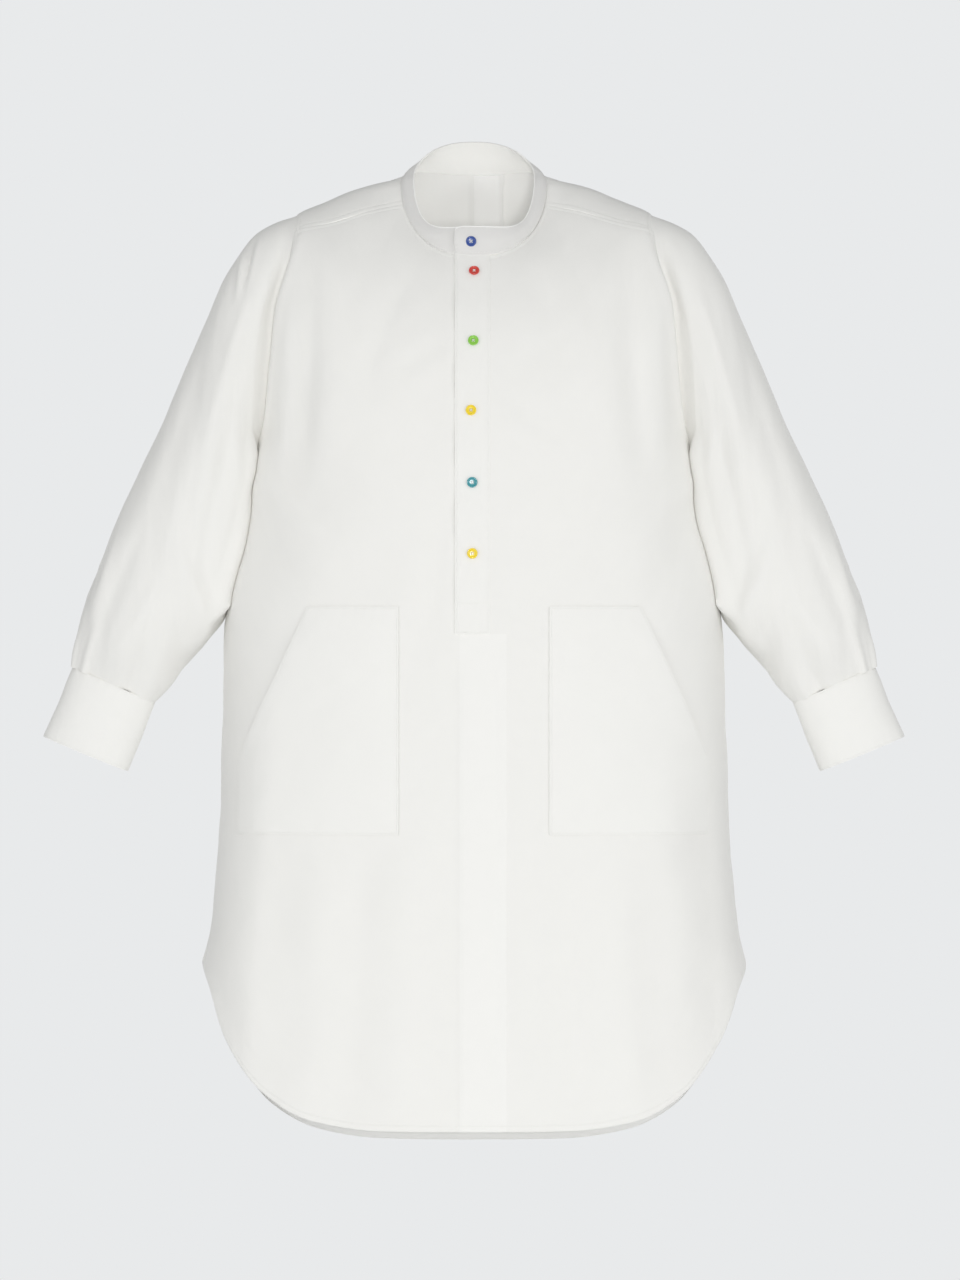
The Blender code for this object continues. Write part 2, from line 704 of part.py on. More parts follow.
def make_collar():
    """A standing band. Its end on the wearer's left laps over the other end."""
    angles = neck_angles()
    places = np.linspace(0, len(COLLAR_RINGS) - 1, BAND_ROWS)
    angle, place = np.meshgrid(angles, places)
    points = ring_point(COLLAR, angle, place)
    normals = -ring_normal(COLLAR, angle, place)
    stand_off = lap_raise(angles - angles[0], COLLAR_LAP)
    points = points + normals * stand_off[None, :, None]
    points[0] += unit(points[1] - points[0]) * SEAM_GAP / 2
    return make_sheet("collar", points, points - normals * WALL)


def button_mesh(name):
    """A turned button with a raised rim and four holes."""
    well = 0.95 - BUTTON_WELL / BUTTON_HEIGHT
    profile = ((0, 0), (0.85, 0), (1, 0.3), (1, 0.75), (0.86, 1), (0.74, 0.95), (0.62, well), (0, well))
    shape = bmesh.new()
    line = [shape.verts.new((radius * BUTTON_RADIUS * MM, 0, height * BUTTON_HEIGHT * MM))
            for radius, height in profile]
    edges = [shape.edges.new(pair) for pair in zip(line, line[1:])]
    bmesh.ops.spin(shape, geom=line + edges, axis=(0, 0, 1), cent=(0, 0, 0), steps=16,
                   angle=2 * math.pi, use_merge=True)
    bmesh.ops.remove_doubles(shape, verts=shape.verts, dist=1e-6)
    bmesh.ops.recalc_face_normals(shape, faces=shape.faces)
    mesh = bpy.data.meshes.new(name)
    shape.to_mesh(mesh)
    shape.free()
    return mesh


def make_hole_cutter():
    """Four thin rods that cut a button's holes."""
    shape = bmesh.new()
    for index in range(4):
        turn = math.radians(45 + 90 * index)
        spot = Vector((math.cos(turn), math.sin(turn), 0)) * HOLE_SPACING * MM
        rod = bmesh.ops.create_cone(shape, cap_ends=True, segments=6, radius1=HOLE_RADIUS * MM,
                                    radius2=HOLE_RADIUS * MM, depth=4 * BUTTON_HEIGHT * MM)
        bmesh.ops.translate(shape, verts=rod["verts"], vec=spot)
    mesh = bpy.data.meshes.new("hole_cutter")
    shape.to_mesh(mesh)
    shape.free()
    cutter = bpy.data.objects.new("hole_cutter", mesh)
    bpy.context.scene.collection.objects.link(cutter)
    cutter.hide_render = True
    cutter.display_type = "WIRE"
    return cutter


def button_seat(x, height):
    """Point and outward direction on the upper band, or on the collar's upper end."""
    if height > BODY_RINGS[0][3]:
        share = (height - COLLAR_RINGS[0][3]) / (COLLAR_RINGS[-1][3] - COLLAR_RINGS[0][3])
        place = np.array(share * (len(COLLAR_RINGS) - 1))
        angle = np.degrees(np.arcsin(x / COLLAR_RINGS[0][0]))
        point, normal = ring_point(COLLAR, angle, place), -ring_normal(COLLAR, angle, place)
    else:
        place = place_at("front_z", height)
        angle = angle_at(x, place)
        point, normal = ring_point(BODY, angle, place), ring_normal(BODY, angle, place)
    return point + normal * (WALL + 2 * LAYER_GAP), normal


def make_buttons():
    cutter = make_hole_cutter()
    for name, x, height, colour in BUTTONS:
        point, normal = button_seat(x, height)
        button = finish_object(name, button_mesh(name), make_material(name + "_plastic", colour, 0.3))
        turn = Vector((0, 0, 1)).rotation_difference(Vector(normal.tolist())).to_matrix().to_4x4()
        place = Matrix.Translation(Vector(point.tolist()) * MM) @ turn
        holes = button.modifiers.new("holes", "BOOLEAN")
        holes.operation = "DIFFERENCE"
        holes.solver = "EXACT"
        own_cutter = cutter.copy()
        own_cutter.name = name + "_cutter"
        bpy.context.scene.collection.objects.link(own_cutter)
        own_cutter.matrix_world = place
        button.matrix_world = place
        holes.object = own_cutter
    bpy.data.objects.remove(cutter, do_unlink=True)


def main():
    for old in list(bpy.data.objects):
        bpy.data.objects.remove(old, do_unlink=True)
    front, front_normals, front_wall = panel_points(False)
    make_front(front, front_normals, front_wall)
    make_plackets(front, front_normals)
    make_pocket("pocket_left", front, front_normals, 1)
    make_pocket("pocket_right", front, front_normals, -1)
    back, back_normals, back_wall = panel_points(True)
    keep = np.ones((back.shape[0] - 1, back.shape[1] - 1), bool)
    keep[-FLAP_ROWS:, SEAM_STEPS:-SEAM_STEPS] = False
    make_sheet("back", back, back - back_normals * back_wall[..., None], keep)
    for name, side in (("left", 1), ("right", -1)):
        make_sleeve("sleeve_" + name, side)
        make_cuff("cuff_" + name, side)
    make_collar()
    make_buttons()


main()
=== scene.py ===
"""Looks of a pop-over nightshirt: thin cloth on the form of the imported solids.

+Z is up, the front looks towards -Y and the wearer's left is at +X. Sizes and tables are in
millimetres, and meshes are made in metres. Body grids hold an angle, 0 at the middle of the
front and 90 at the +X side, and a place, which is a ring's number in the table.
"""
import math

import bmesh
import bpy
import numpy as np
from mathutils import Matrix, Vector
from mathutils.bvhtree import BVHTree


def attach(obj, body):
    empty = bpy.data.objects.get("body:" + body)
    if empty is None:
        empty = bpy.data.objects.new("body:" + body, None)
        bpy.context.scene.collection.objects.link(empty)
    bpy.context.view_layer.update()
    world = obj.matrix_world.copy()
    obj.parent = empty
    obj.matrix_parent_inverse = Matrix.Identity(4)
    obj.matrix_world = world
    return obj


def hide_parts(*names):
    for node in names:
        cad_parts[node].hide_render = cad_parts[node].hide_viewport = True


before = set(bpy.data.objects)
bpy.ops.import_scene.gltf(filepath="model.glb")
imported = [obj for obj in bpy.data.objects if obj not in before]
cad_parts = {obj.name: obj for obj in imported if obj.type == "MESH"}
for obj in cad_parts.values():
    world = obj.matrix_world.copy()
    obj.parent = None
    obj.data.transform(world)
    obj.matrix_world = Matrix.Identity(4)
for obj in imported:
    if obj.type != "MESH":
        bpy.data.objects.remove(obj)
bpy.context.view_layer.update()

MM = 0.001

# Cloth: thickness of one layer, of a doubled band, and the gap between two layers
CLOTH = 0.9
BAND = 1.5
LAYER_GAP = 0.35
SEAM_INSET = 0.03

# Rings of the body, from the neck seam down over the shoulders to the tail.
# Depths are measured from the side seam, and bows curve a ring's edge between side and middle.
RING_COLUMNS = ("half_width", "side_z", "front_depth", "front_z", "back_depth", "back_z",
                "square", "front_bow", "back_bow")
BODY_RINGS = (
    (77, -5, 62, -83, 50, 10, 2.0, -30, 0),
    (114, -10, 80, -112, 77, -36, 2.1, -16, 0),
    (157, -24, 97, -146, 99, -84, 2.2, -6, 0),
    (188, -37, 109, -180, 112, -128, 2.3, 0, 0),
    (210, -63, 116, -213, 119, -170, 2.4, 0, 0),
    (226, -116, 121, -244, 123, -214, 2.5, 0, 0),
    (230, -190, 124, -271, 125, -254, 2.5, 0, 0),
    (228, -285, 126, -302, 125, -300, 2.5, 0, 0),
    (242, -385, 127, -385, 123, -385, 2.5, 0, 0),
    (261, -470, 126, -470, 120, -470, 2.5, 0, 0),
    (264, -580, 124, -580, 117, -580, 2.5, 0, 0),
    (268, -690, 122, -690, 117, -690, 2.5, 0, 0),
    (277, -785, 120, -785, 117, -785, 2.5, 0, 0),
    (285, -830, 119, -830, 117, -830, 2.5, 0, 0),
    (287, -920, 118, -920, 117, -920, 2.5, 0, 0),
    (287, -1030, 118, -1030, 117, -1030, 2.5, 0, 0),
)
UNDERARM_RING = 7

# Rings of the collar band, from the neck seam up to the rim
COLLAR_RINGS = (
    (77, -5, 62, -83, 50, 10, 2.0, -30, 0),
    (71, 2, 61.5, -68, 46, 26.5, 2.15, -34, 5),
    (63, 3, 58, -53, 39, 43.5, 2.35, -38, 5),
)

# Height of the hem at even steps of the angle from the middle to the side seam
HEM_STEP = 15
HEM_COLUMNS = ("front_z", "back_z")
HEM = (
    (-990, -1018),
    (-989, -1016),
    (-980, -1005),
    (-952, -975),
    (-901, -915),
    (-842, -846),
    (-821, -821),
)

# Sleeve sections in the plane of the arm: the outer line, the inner line, and the depth across
SLEEVE_COLUMNS = ("outer_x", "outer_z", "inner_x", "inner_z", "half_depth", "centre_y")
SLEEVE_SECTIONS = (
    (189, -35, 229, -285, 56, 0),
    (227, -54, 231.5, -300, 66, -1),
    (261.5, -103, 233, -309, 73, -2),
    (290, -171, 232.6, -323, 75, -3),
    (316, -231, 235.4, -345, 75, -5),
    (345, -294, 241.5, -377, 72, -7),
    (374, -357, 251, -415, 67, -9),
    (399, -420, 260, -456, 60, -11),
    (413, -467, 287, -492, 52, -12),
    (420, -511, 335, -549, 27, -13),
)
SLEEVE_FADE = 3.0
TUBE_SQUARE = 0.9


# Collar's lap in degrees, and how many laps it takes for a lapping end to lie down again
COLLAR_LAP = 27
LAP_SETTLE = 2.6

# Cuff sections, with the same columns
CUFF_SECTIONS = (
    (420.1, -511.3, 335.1, -549.3, 27, -13),
    (435, -548, 348.5, -585, 27, -13.5),
    (450.5, -584, 363, -620, 27, -14),
)
CUFF_LAP_END = 163
CUFF_LAP = 34
TUCKS = (16, 44)
TUCK_HALF_WIDTH = 9
TUCK_HEIGHT = 3.2
TUCK_START = 1.3
TUCK_FULL = 0.3

# Armhole: an oval in ring number and angle, with the shoulder seam's end on it
ARMHOLE_TOP = 2.97
ARMHOLE_SQUARE = 0.8
ARMHOLE_FRONT = 24
ARMHOLE_BACK = 20
SEAM_TURN = 15
SHOULDER_SEAM_BOW = 5
UNDERARM_CLEARANCE = 0.9
UNDERARM_EARLY = 0.3

# Placket: two bands over a slit in the front
PLACKET_LEFT = -19.5
PLACKET_RIGHT = 16.5
SLIT_LEFT = -17.5
SLIT_RIGHT = 14.5
PLACKET_END_Z = -477
SLIT_END_Z = -470

# Pocket outline on the wearer's left, seen from the front
POCKET_INNER = 77.5
POCKET_TOP = -448.5
POCKET_CORNER = 172
POCKET_OUTER = 245
POCKET_SLANT_END = -609
POCKET_BOTTOM = -684

# Soft pleat below the placket, and the inverted pleat at the middle of the back
FRONT_PLEAT = {"left": -14.5, "right": 28.5, "edge": 5, "height": 2.6, "start": 482, "full": 540}
BACK_PLEAT = {"groove": 2.6, "narrow": 5, "wide": 17, "widened": 400, "fade": 300, "end": 520}

# Buttons: name, x, height of the middle, and colour
BUTTON_RADIUS = 5.5
BUTTON_HEIGHT = 2.2
HOLE_RADIUS = 0.75
HOLE_SPACING = 1.45
BUTTONS = (
    ("button_1", -2.5, -69, (0.030, 0.075, 0.300)),
    ("button_2", 0.2, -101.5, (0.620, 0.045, 0.030)),
    ("button_3", -0.6, -175, (0.260, 0.600, 0.070)),
    ("button_4", -3, -247, (0.880, 0.660, 0.020)),
    ("button_5", -1.7, -321, (0.045, 0.290, 0.330)),
    ("button_6", -1.6, -394, (0.880, 0.660, 0.020)),
)
BUTTON_WALL = 1.4

# Mesh: steps of the fine grids, and the lines that run beside a seam, a hem or a band's edge
CELL = 6.0
MIDDLE_CELL = 3.0
MIDDLE_HALF = 42
NECK_STEPS = 26
SEAM_STEPS = 32
SIDE_STEPS = NECK_STEPS + SEAM_STEPS
FLAP_ROWS = 8
ARMHOLE_STEPS = 58
SLEEVE_STEPS = 116
SLEEVE_CELLS = 112
SETTLE_STEPS = 30
SETTLE_SHARE = 0.6
LINES_REACH = 0.9
PLACKET_CELL = 2.0
OVER_CELL = 4.0
UNDER_CELL = 6.0
POCKET_CELL = 4.5
PROBE = 0.04
SEAM_LINES = (0.7, 1.6, 3.2, 5.2, 6.0, 6.8, 8.4)
SEAM_STITCH = 5
BAND_LINES = (0.5, 1.2, 2.0, 2.8, 4.0)
BAND_STITCH = 3
SKIPPED = 4
ADDED_LINES = len(SEAM_LINES) - SKIPPED + 1
BACK_MARKS = (-MIDDLE_HALF, -20, -17, 0, 17, 20, MIDDLE_HALF)

# Edges of a grid, as its axis and whether it is the far one: start, end, bottom, top
EDGES = ((1, False), (1, True), (0, False), (0, True))

# Soft folds: start, end, sideways bend of the middle, half width, and height
FOLD_COLUMNS = ("x0", "z0", "x1", "z1", "bend", "width", "height")
FRONT_FOLDS = (
    (166, -58, 176, -300, 6, 13, -2.4),
    (194, -120, 200, -345, 5, 12, 1.8),
    (-170, -76, -180, -322, -5, 12, -2.0),
    (-197, -140, -203, -330, -4, 11, 1.6),
    (236, -296, 148, -392, -9, 10, 1.8),
    (-236, -304, -150, -372, 8, 11, 1.9),
    (240, -330, 176, -446, -8, 13, -1.5),
    (-240, -340, -168, -436, 7, 14, -1.4),
    (-58, -92, -112, -236, 9, 12, -1.2),
    (60, -95, 101, -262, -7, 13, -1.3),
    (34, -330, 47, -520, 4, 14, 1.1),
    (-37, -356, -54, -508, -4, 12, -1.1),
    (26, -240, 92, -292, 5, 9, 0.7),
    (-26, -170, -90, -208, -5, 9, -0.7),
    (-206, -560, -236, -975, 6, 20, 2.6),
    (-122, -690, -140, -1000, -7, 22, -2.2),
    (-60, -640, -76, -1000, 5, 18, 1.6),
    (88, -690, 106, -1000, -6, 20, -2.0),
    (152, -700, 176, -1000, 6, 22, 2.4),
    (226, -560, 250, -960, -6, 18, -2.3),
    (60, -500, 66, -1000, 3, 16, 0.9),
)
BACK_FOLDS = (
    (44, -40, 120, -200, 12, 16, 1.8),
    (-40, -44, -128, -188, -13, 15, 1.7),
    (100, -60, 168, -250, 10, 14, -2.0),
    (-104, -66, -172, -262, -9, 15, -2.1),
    (236, -296, 130, -400, -12, 12, 2.2),
    (-236, -300, -138, -420, 11, 12, 2.1),
    (238, -340, 160, -480, -10, 14, -1.7),
    (-240, -336, -150, -470, 12, 15, -1.8),
    (26, -430, 44, -1010, 6, 22, 2.6),
    (-24, -440, -52, -1010, -7, 20, 2.4),
    (96, -420, 122, -1010, -8, 24, -2.8),
    (-92, -450, -128, -1010, 8, 22, -2.6),
    (168, -520, 196, -1000, 7, 22, 2.7),
    (-160, -500, -202, -1000, -8, 21, 2.5),
    (230, -560, 254, -950, -6, 18, -2.3),
    (-232, -540, -252, -960, 6, 18, -2.2),
    (0, -470, 2, -1015, 4, 16, -1.6),
)

# Folds of the sleeves: turn, distance down the sleeve, then as above
SLEEVE_FOLDS = (
    (66, 40, 84, 205, 5, 13, 1.9),
    (112, 60, 126, 230, -6, 13, -2.1),
    (40, 150, 62, 330, 6, 14, -1.5),
    (176, 205, 92, 262, -11, 11, 2.4),
    (182, 236, 104, 300, -10, 11, -2.3),
    (184, 268, 118, 350, -9, 12, 2.0),
    (-176, 214, -96, 268, 10, 11, 2.3),
    (-178, 250, -108, 322, 9, 12, -2.1),
    (88, 292, 70, 468, 5, 9, 1.9),
    (60, 330, 52, 470, -4, 8, -2.0),
    (112, 340, 96, 470, 4, 9, -1.7),
    (138, 360, 126, 468, -4, 9, 1.6),
    (28, 372, 32, 470, 3, 7, 1.6),
    (-34, 350, -42, 470, 4, 9, 1.9),
    (-70, 310, -80, 470, -5, 10, -2.0),
    (-112, 340, -118, 468, 4, 10, 1.8),
    (-52, 60, -74, 240, -6, 14, -2.0),
    (-96, 70, -112, 226, 6, 13, 1.8),
    (4, 438, 10, 474, 0, 8, -3.0),
)
RIGHT_SLEEVE_FOLDS = (
    (14, 52, 52, 66, 3, 5, -2.2),
    (18, 66, 56, 80, 3, 6, 1.5),
)
TURN_LENGTH = 1.15

# Slow waves that keep large cloth areas from looking flat: wave numbers, phase, height
WAVES = (
    (0.052, 0.021, 0.4, 0.42),
    (-0.033, 0.047, 2.1, 0.38),
    (0.081, -0.038, 4.2, 0.22),
    (0.024, 0.092, 1.3, 0.20),
    (0.140, 0.075, 3.3, 0.09),
    (-0.112, 0.168, 5.2, 0.08),
    (0.235, -0.120, 0.9, 0.05),
)

# Strength of the folds and waves: shares of the tables' heights, where a wave pattern starts,
# and the calmer middle of the front
FRONT_FOLD_SHARE = 1.2
BACK_FOLD_SHARE = 1.4
SLEEVE_FOLD_SHARE = 1.35
PLEAT_SHARE = 0.65
BACK_WAVE_START = 400
SLEEVE_WAVE_START = 900
CALM_MIDDLE = (20, 60)
CALM_WAVES = 0.3
FOLD_FADE = (-0.12, 0.3, 0.72, 1.1)
FOLD_SLOPES = (1.35, 0.8)
ROLL_PLACE = 2.1
ROLL_SHARE = 0.3
WAVE_BEND = 0.8
WAVE_BEND_STEP = 0.011

# The back's pleat is sewn at the neck, and its spare width lies inside. The front's is doubled.
SEWN_Z = (9, -6)
INNER_FOLD = {"left": -6.5, "right": 30, "soft": 9, "sharp": 1.2, "height": 3.8}
INNER_FOLD_Z = (-420, -300)
THINNEST = 0.6
CLEAR_SHARE = 0.7
PLEAT_DOUBLED = (-16.5, 32)

# Edges: depth and width of the dip, and the place and depth of the stitches beside it
SIDE_DIP = 0.9
STITCH_LINE = 6.0
BAND_LINE = BAND_LINES[BAND_STITCH - 1]
SIDE_SEAM = (SIDE_DIP, 1.5, STITCH_LINE, 0.3)
TOP_SEAM = (0.35, 1.5, STITCH_LINE, 0.3)
HEM_SEAM = (0.5, 0.8, STITCH_LINE, 0.35)
BAND_SEAM = (0.25, 0.7, BAND_LINE, 0.25)
COLLAR_SEAM = (0.25, 0.7, BAND_LINE, 0.2)
PANEL_EDGES = {"start": SIDE_SEAM, "end": SIDE_SEAM, "top": TOP_SEAM, "bottom": HEM_SEAM}
HEM_EDGE = (6.8, 8.4)
HEM_RISE = 0.45
HEM_FULLNESS = 0.9
STITCH_WIDTH = 0.9
PUCKER_HEIGHT = 0.16
PUCKER_WIDTH = 5
PUCKER_STEPS = (0.62, 0.17)
PUCKER_BEND = 0.9

# Stitches: spacing, length, width and height, lift off the cloth, and faces of one between its
# ends 0 and 1, sides 2 and 3, foot 4 and top 5
STITCH_SPACING = 3.1
STITCH_SIZE = (2.3, 0.5, 0.36)
STITCH_LIFT = 0.12
STITCH_FACES = np.array([face for p, q in ((2, 4), (4, 3), (3, 5), (5, 2))
                         for face in ((0, p, q), (1, q, p))])

# Armhole: how deep the front's seam lies over which turns, the roll down to it, the hollow of
# the sleeve beside it, and the seam's allowance inside
SINK_DEPTH = 5.2
SINK_TURNS = (30, 75, 146, 176)
SINK_ROLL = 6.5
SWELL_SHARE = 0.25
SWELL_PLACE = 10
SWELL_WIDTH = 6
HOLLOW_REACH = 9
HOLLOW_WIDTH = 9
HOLLOW_DEPTH = 4.2
SLEEVE_CALM = (4, 40)
SEAM_SETTLE = 20
NORMAL_SETTLE = 9
SEAM_FACING = 0.2
ALLOWANCE = 3.5
ALLOWANCE_DEPTH = 1.3
RUN_OUT_SHARE = 0.75
RUN_OUT_X = (205, 236)
RUN_OUT_Z = (-330, -280)

# Sleeve and body's side against each other below the armhole. Four limits say where a form
# starts, is full, begins to fade and ends.
PRESS = 0.5
PRESSED_Y = -4
PRESSED_REACH = (34, 10)
PRESSED_Z = (-462, -435, -300, -285)
SIDE_FULLNESS = 5.6
FULL_X = (175, 200)
FULL_Z = (-480, -430, -300, -262)
CORNER_Y = 52
CORNER_WIDTH = 20
INNER_TURNS = (128, 160)
INNER_CORNERS = ((140, 3.6), (-140, 4.5))
CORNER_TURNS = 24
UNDERARM_FULLNESS = 2.6
UNDERARM_Z = -307
UNDERARM_WIDTH = 15
HELD_GAP = 0.12
HELD_Y = (-61, -47, 30, 46)
HELD_Z = (-470, -444, -294, -262)
HELD_AWAY = (16, 30)
HELD_FADE = (6, 20)
CAST_TURN = 90
CAST_Y = 80
CAST_Z = (-475, -258)
CAST_FROM = 600

# Placket band, loose between the buttons and flat along one edge, and its sewn box
PLACKET_LOOSE = {"near": 8, "far": 34, "edge": 15, "foot": 70, "height": 1.0}
PLACKET_FLAT = {"width": 9, "height": 0.9}
BOX_STITCH_Z = -446

# Pocket: how full it is, and how its slanted mouth stands off
POCKET_FULL = {"edge": 26, "base": 0.4, "height": 1.1}
POCKET_MOUTH = {"width": 30, "foot": 40, "fade": 50, "end": 6, "height": 2.2}
POCKET_STEPS = 40

# Cuffs and collar: mesh steps, lift off the form, strength of the waves
CUFF_STEPS = 130
BAND_ROWS = 22
CUFF_RISE = -0.03
CUFF_LIFT = 0.5
CUFF_WAVES = 0.5
COLLAR_STEPS = 210
COLLAR_CORNER = 10
COLLAR_HEIGHT = 34
COLLAR_WALL = 1.9
COLLAR_LIFT = 0.4
COLLAR_WAVES = 0.45
COLLAR_TUCK_DOWN = 1.0
COLLAR_TUCK_IN = 0.8
LAP_CURL = 3.0
LAP_CURL_REACH = (0, 26)
LAP_CURL_RISE = (2, 14)
# Rows at the collar's rim that take the painted highlight
RIM_HIGHLIGHT_ROWS = 2

# Turned buttons: profile as shares of the radius and the height, and the thread through them
BUTTON_STAND = 0.5
BUTTON_PROFILE = (
    (0.0, 0.10), (0.30, 0.04), (0.70, 0.02), (0.86, 0.10), (0.96, 0.28), (1.0, 0.50),
    (0.985, 0.72), (0.94, 0.90), (0.88, 0.99), (0.81, 0.98), (0.75, 0.90), (0.70, 0.76),
    (0.66, 0.66), (0.50, 0.60), (0.25, 0.58), (0.0, 0.58),
)
THREAD_RADIUS = 0.34
THREAD_SEAT = 0.62 * BUTTON_HEIGHT
THREAD_BARS = ((0, 2, 0.55), (1, 3, 1.05))
BUTTON_STEPS = 48
HOLE_STEPS = 16
PLASTIC = {"roughness": 0.28, "speckle": 0.07, "coat": 0.35}
THREAD_RINGS = 7
THREAD_SIDES = 8

# Edges that turn by more than this many degrees stay sharp
CLOTH_SHARP = 55
BUTTON_SHARP = 40

# Cotton: yarn spacing, range of its tone, noise as scale and detail, bumps as strength and
# height in metres
YARN = 0.42
COTTON_DARK = 0.972
COTTON_LIGHT = 1.02
SLUB_STRETCH = 14
SLUB_TONE = 0.6
SLUB_NOISE = (130, 2.0)
RUMPLE_NOISE = (42, 4.0)
RUMPLE_BUMP = (0.35, 0.0012)
SLUB_BUMP = (0.25, 0.0002)
WEAVE_BUMP = (0.35, 0.00012)
PLAIN_BUMP = (0.08, 0.0002)
COTTON_SURFACE = {"Roughness": 0.88, "Specular IOR Level": 0.25, "Sheen Weight": 0.08,
                  "Sheen Roughness": 0.6}

# Studio, in metres
FLOOR_RADIUS = 1.5
FLOOR_Z = -1.38
WORLD_COLOUR = (0.975, 0.99, 1.0)
WORLD_SEEN = 0.83
WORLD_LIGHT = 0.485
CAMERA_PLACE = (0.0063, -6.0, -0.483)
CAMERA_LENS = 160.7
CAMERA_SENSOR = 36

# Studio lights: place, aim, size, and the share of full white each gives a surface that faces
# it. The inside light stands for the daylight that thin cotton lets through.
MIDDLE = (0, 0, -0.5)
LIGHTS = (
    ("front_light", (0.45, -5.9, -0.30), MIDDLE, 1.1, 0.355),
    ("right_light", (3.6, -3.4, -0.6), MIDDLE, 1.8, 0.14),
    ("left_light", (-3.6, -3.4, -0.7), MIDDLE, 1.8, 0.13),
    ("back_light_right", (2.2, 4.4, -0.2), MIDDLE, 1.8, 0.24),
    ("back_light_left", (-2.2, 4.4, -0.2), MIDDLE, 1.8, 0.22),
    ("inside_light", (0.015, -0.01, -0.26), (0.015, 0.02, 0.0), 0.10, 0.12),
)


def smooth_column(values):
    """Values and slopes of a curve through one table column that never overshoots."""
    values = np.asarray(values, float)
    steps = np.diff(values)
    slopes = np.concatenate((steps[:1], np.zeros(len(steps) - 1), steps[-1:]))
    for i in range(1, len(steps)):
        product = steps[i - 1] * steps[i]
        if product > 0:
            slopes[i] = 2 * product / (steps[i - 1] + steps[i])
    return values, slopes


def table(columns, rows):
    """A table as one smooth column for each name."""
    return {name: smooth_column(values) for name, values in zip(columns, zip(*rows))}


def read(column, place):
    """A smooth column's value at any place between its rows."""
    values, slopes = column
    low = np.clip(np.floor(place).astype(int), 0, len(values) - 2)
    t = place - low
    start = (1 + 2 * t) * (1 - t) ** 2 * values[low] + t * (1 - t) ** 2 * slopes[low]
    return start + t * t * (3 - 2 * t) * values[low + 1] + t * t * (t - 1) * slopes[low + 1]


def power(value, exponent):
    """A power that keeps the sign."""
    return np.sign(value) * np.abs(value) ** exponent


def ramp(value, start, end):
    """A soft step from 0 at the start to 1 at the end."""
    t = np.clip((value - start) / (end - start), 0, 1)
    return t * t * (3 - 2 * t)


def unit(vectors):
    return vectors / np.maximum(np.linalg.norm(vectors, axis=-1, keepdims=True), 1e-9)


def stacked(*values):
    """Arrays side by side, as the last axis of one array."""
    return np.stack(values, axis=-1)


def within(value, limits):
    """1 between the two middle limits, fading to 0 at the outer ones."""
    low, full, still, high = limits
    return ramp(value, low, full) * ramp(value, high, still)


def bell(value, width):
    return np.exp(-(value / width) ** 2)


def nearest(values, target):
    return int(np.argmin(np.abs(values - target)))


BODY = table(RING_COLUMNS, BODY_RINGS)
COLLAR = table(RING_COLUMNS, COLLAR_RINGS)
SLEEVE = table(SLEEVE_COLUMNS, SLEEVE_SECTIONS)
CUFF = table(SLEEVE_COLUMNS, CUFF_SECTIONS)
HEM_CURVE = table(HEM_COLUMNS, HEM)


def ring_point(rings, angle, place):
    """A point on a stack of rings. The angle is 0 at the front and 90 at the +X side."""
    row = {name: read(column, place) for name, column in rings.items()}
    sine = np.sin(np.radians(angle))
    cosine = np.cos(np.radians(angle))
    exponent = 2 / row["square"]
    front = cosine > 0
    depth = np.where(front, row["front_depth"], row["back_depth"])
    bow = np.where(front, row["front_bow"], row["back_bow"])
    tilt = (row["front_z"] - row["back_z"]) / 2
    dish = (row["front_z"] + row["back_z"]) / 2 - row["side_z"]
    x = row["half_width"] * power(sine, exponent)
    y = -depth * power(cosine, exponent)
    z = row["side_z"] + tilt * cosine + dish * cosine ** 2 + bow * cosine * (1 - cosine ** 2)
    return stacked(x, y, z)


def ring_slopes(rings, angle, place):
    """How a point on the rings moves with one degree, and with one ring."""
    half = PROBE / 2
    turn = ring_point(rings, angle + 0.5, place) - ring_point(rings, angle - 0.5, place)
    fall = ring_point(rings, angle, place + half) - ring_point(rings, angle, place - half)
    return turn, fall / PROBE


def ring_normal(rings, angle, place):
    """The outward direction on a stack of rings whose places run downwards."""
    turn, fall = ring_slopes(rings, angle, place)
    return unit(np.cross(fall, turn))


def front_pleat(x, z):
    """Height of the soft pleat that falls from the placket."""
    edge = FRONT_PLEAT["edge"]
    rise = ramp(x, FRONT_PLEAT["left"] - edge, FRONT_PLEAT["left"] + edge)
    drop = ramp(x, FRONT_PLEAT["right"] - edge, FRONT_PLEAT["right"] + edge)
    fade = ramp(-z, FRONT_PLEAT["start"], FRONT_PLEAT["full"])
    return FRONT_PLEAT["height"] * rise * (1 - drop) * fade


def back_groove(x, z):
    """Depth of the slit where the folds of the back pleat meet, which opens downwards."""
    widening = ramp(-z, 0, BACK_PLEAT["widened"])
    open_width = BACK_PLEAT["narrow"] + (BACK_PLEAT["wide"] - BACK_PLEAT["narrow"]) * widening
    fade = 1 - ramp(-z, BACK_PLEAT["fade"], BACK_PLEAT["end"])
    return BACK_PLEAT["groove"] * np.clip(1 - np.abs(x) / open_width, 0, 1) * fade


def place_at(name, height):
    """Ring number at which a body column has this height."""
    places = np.linspace(0, len(BODY_RINGS) - 1, 4000)
    return np.interp(-np.asarray(height, float), -read(BODY[name], places), places)


def angle_at(x, place, back=False):
    """Angle at which a body ring passes this x."""
    share = np.asarray(x, float) / read(BODY["half_width"], place)
    angle = np.degrees(np.arcsin(power(share, read(BODY["square"], place) / 2)))
    return 180 - angle if back else angle


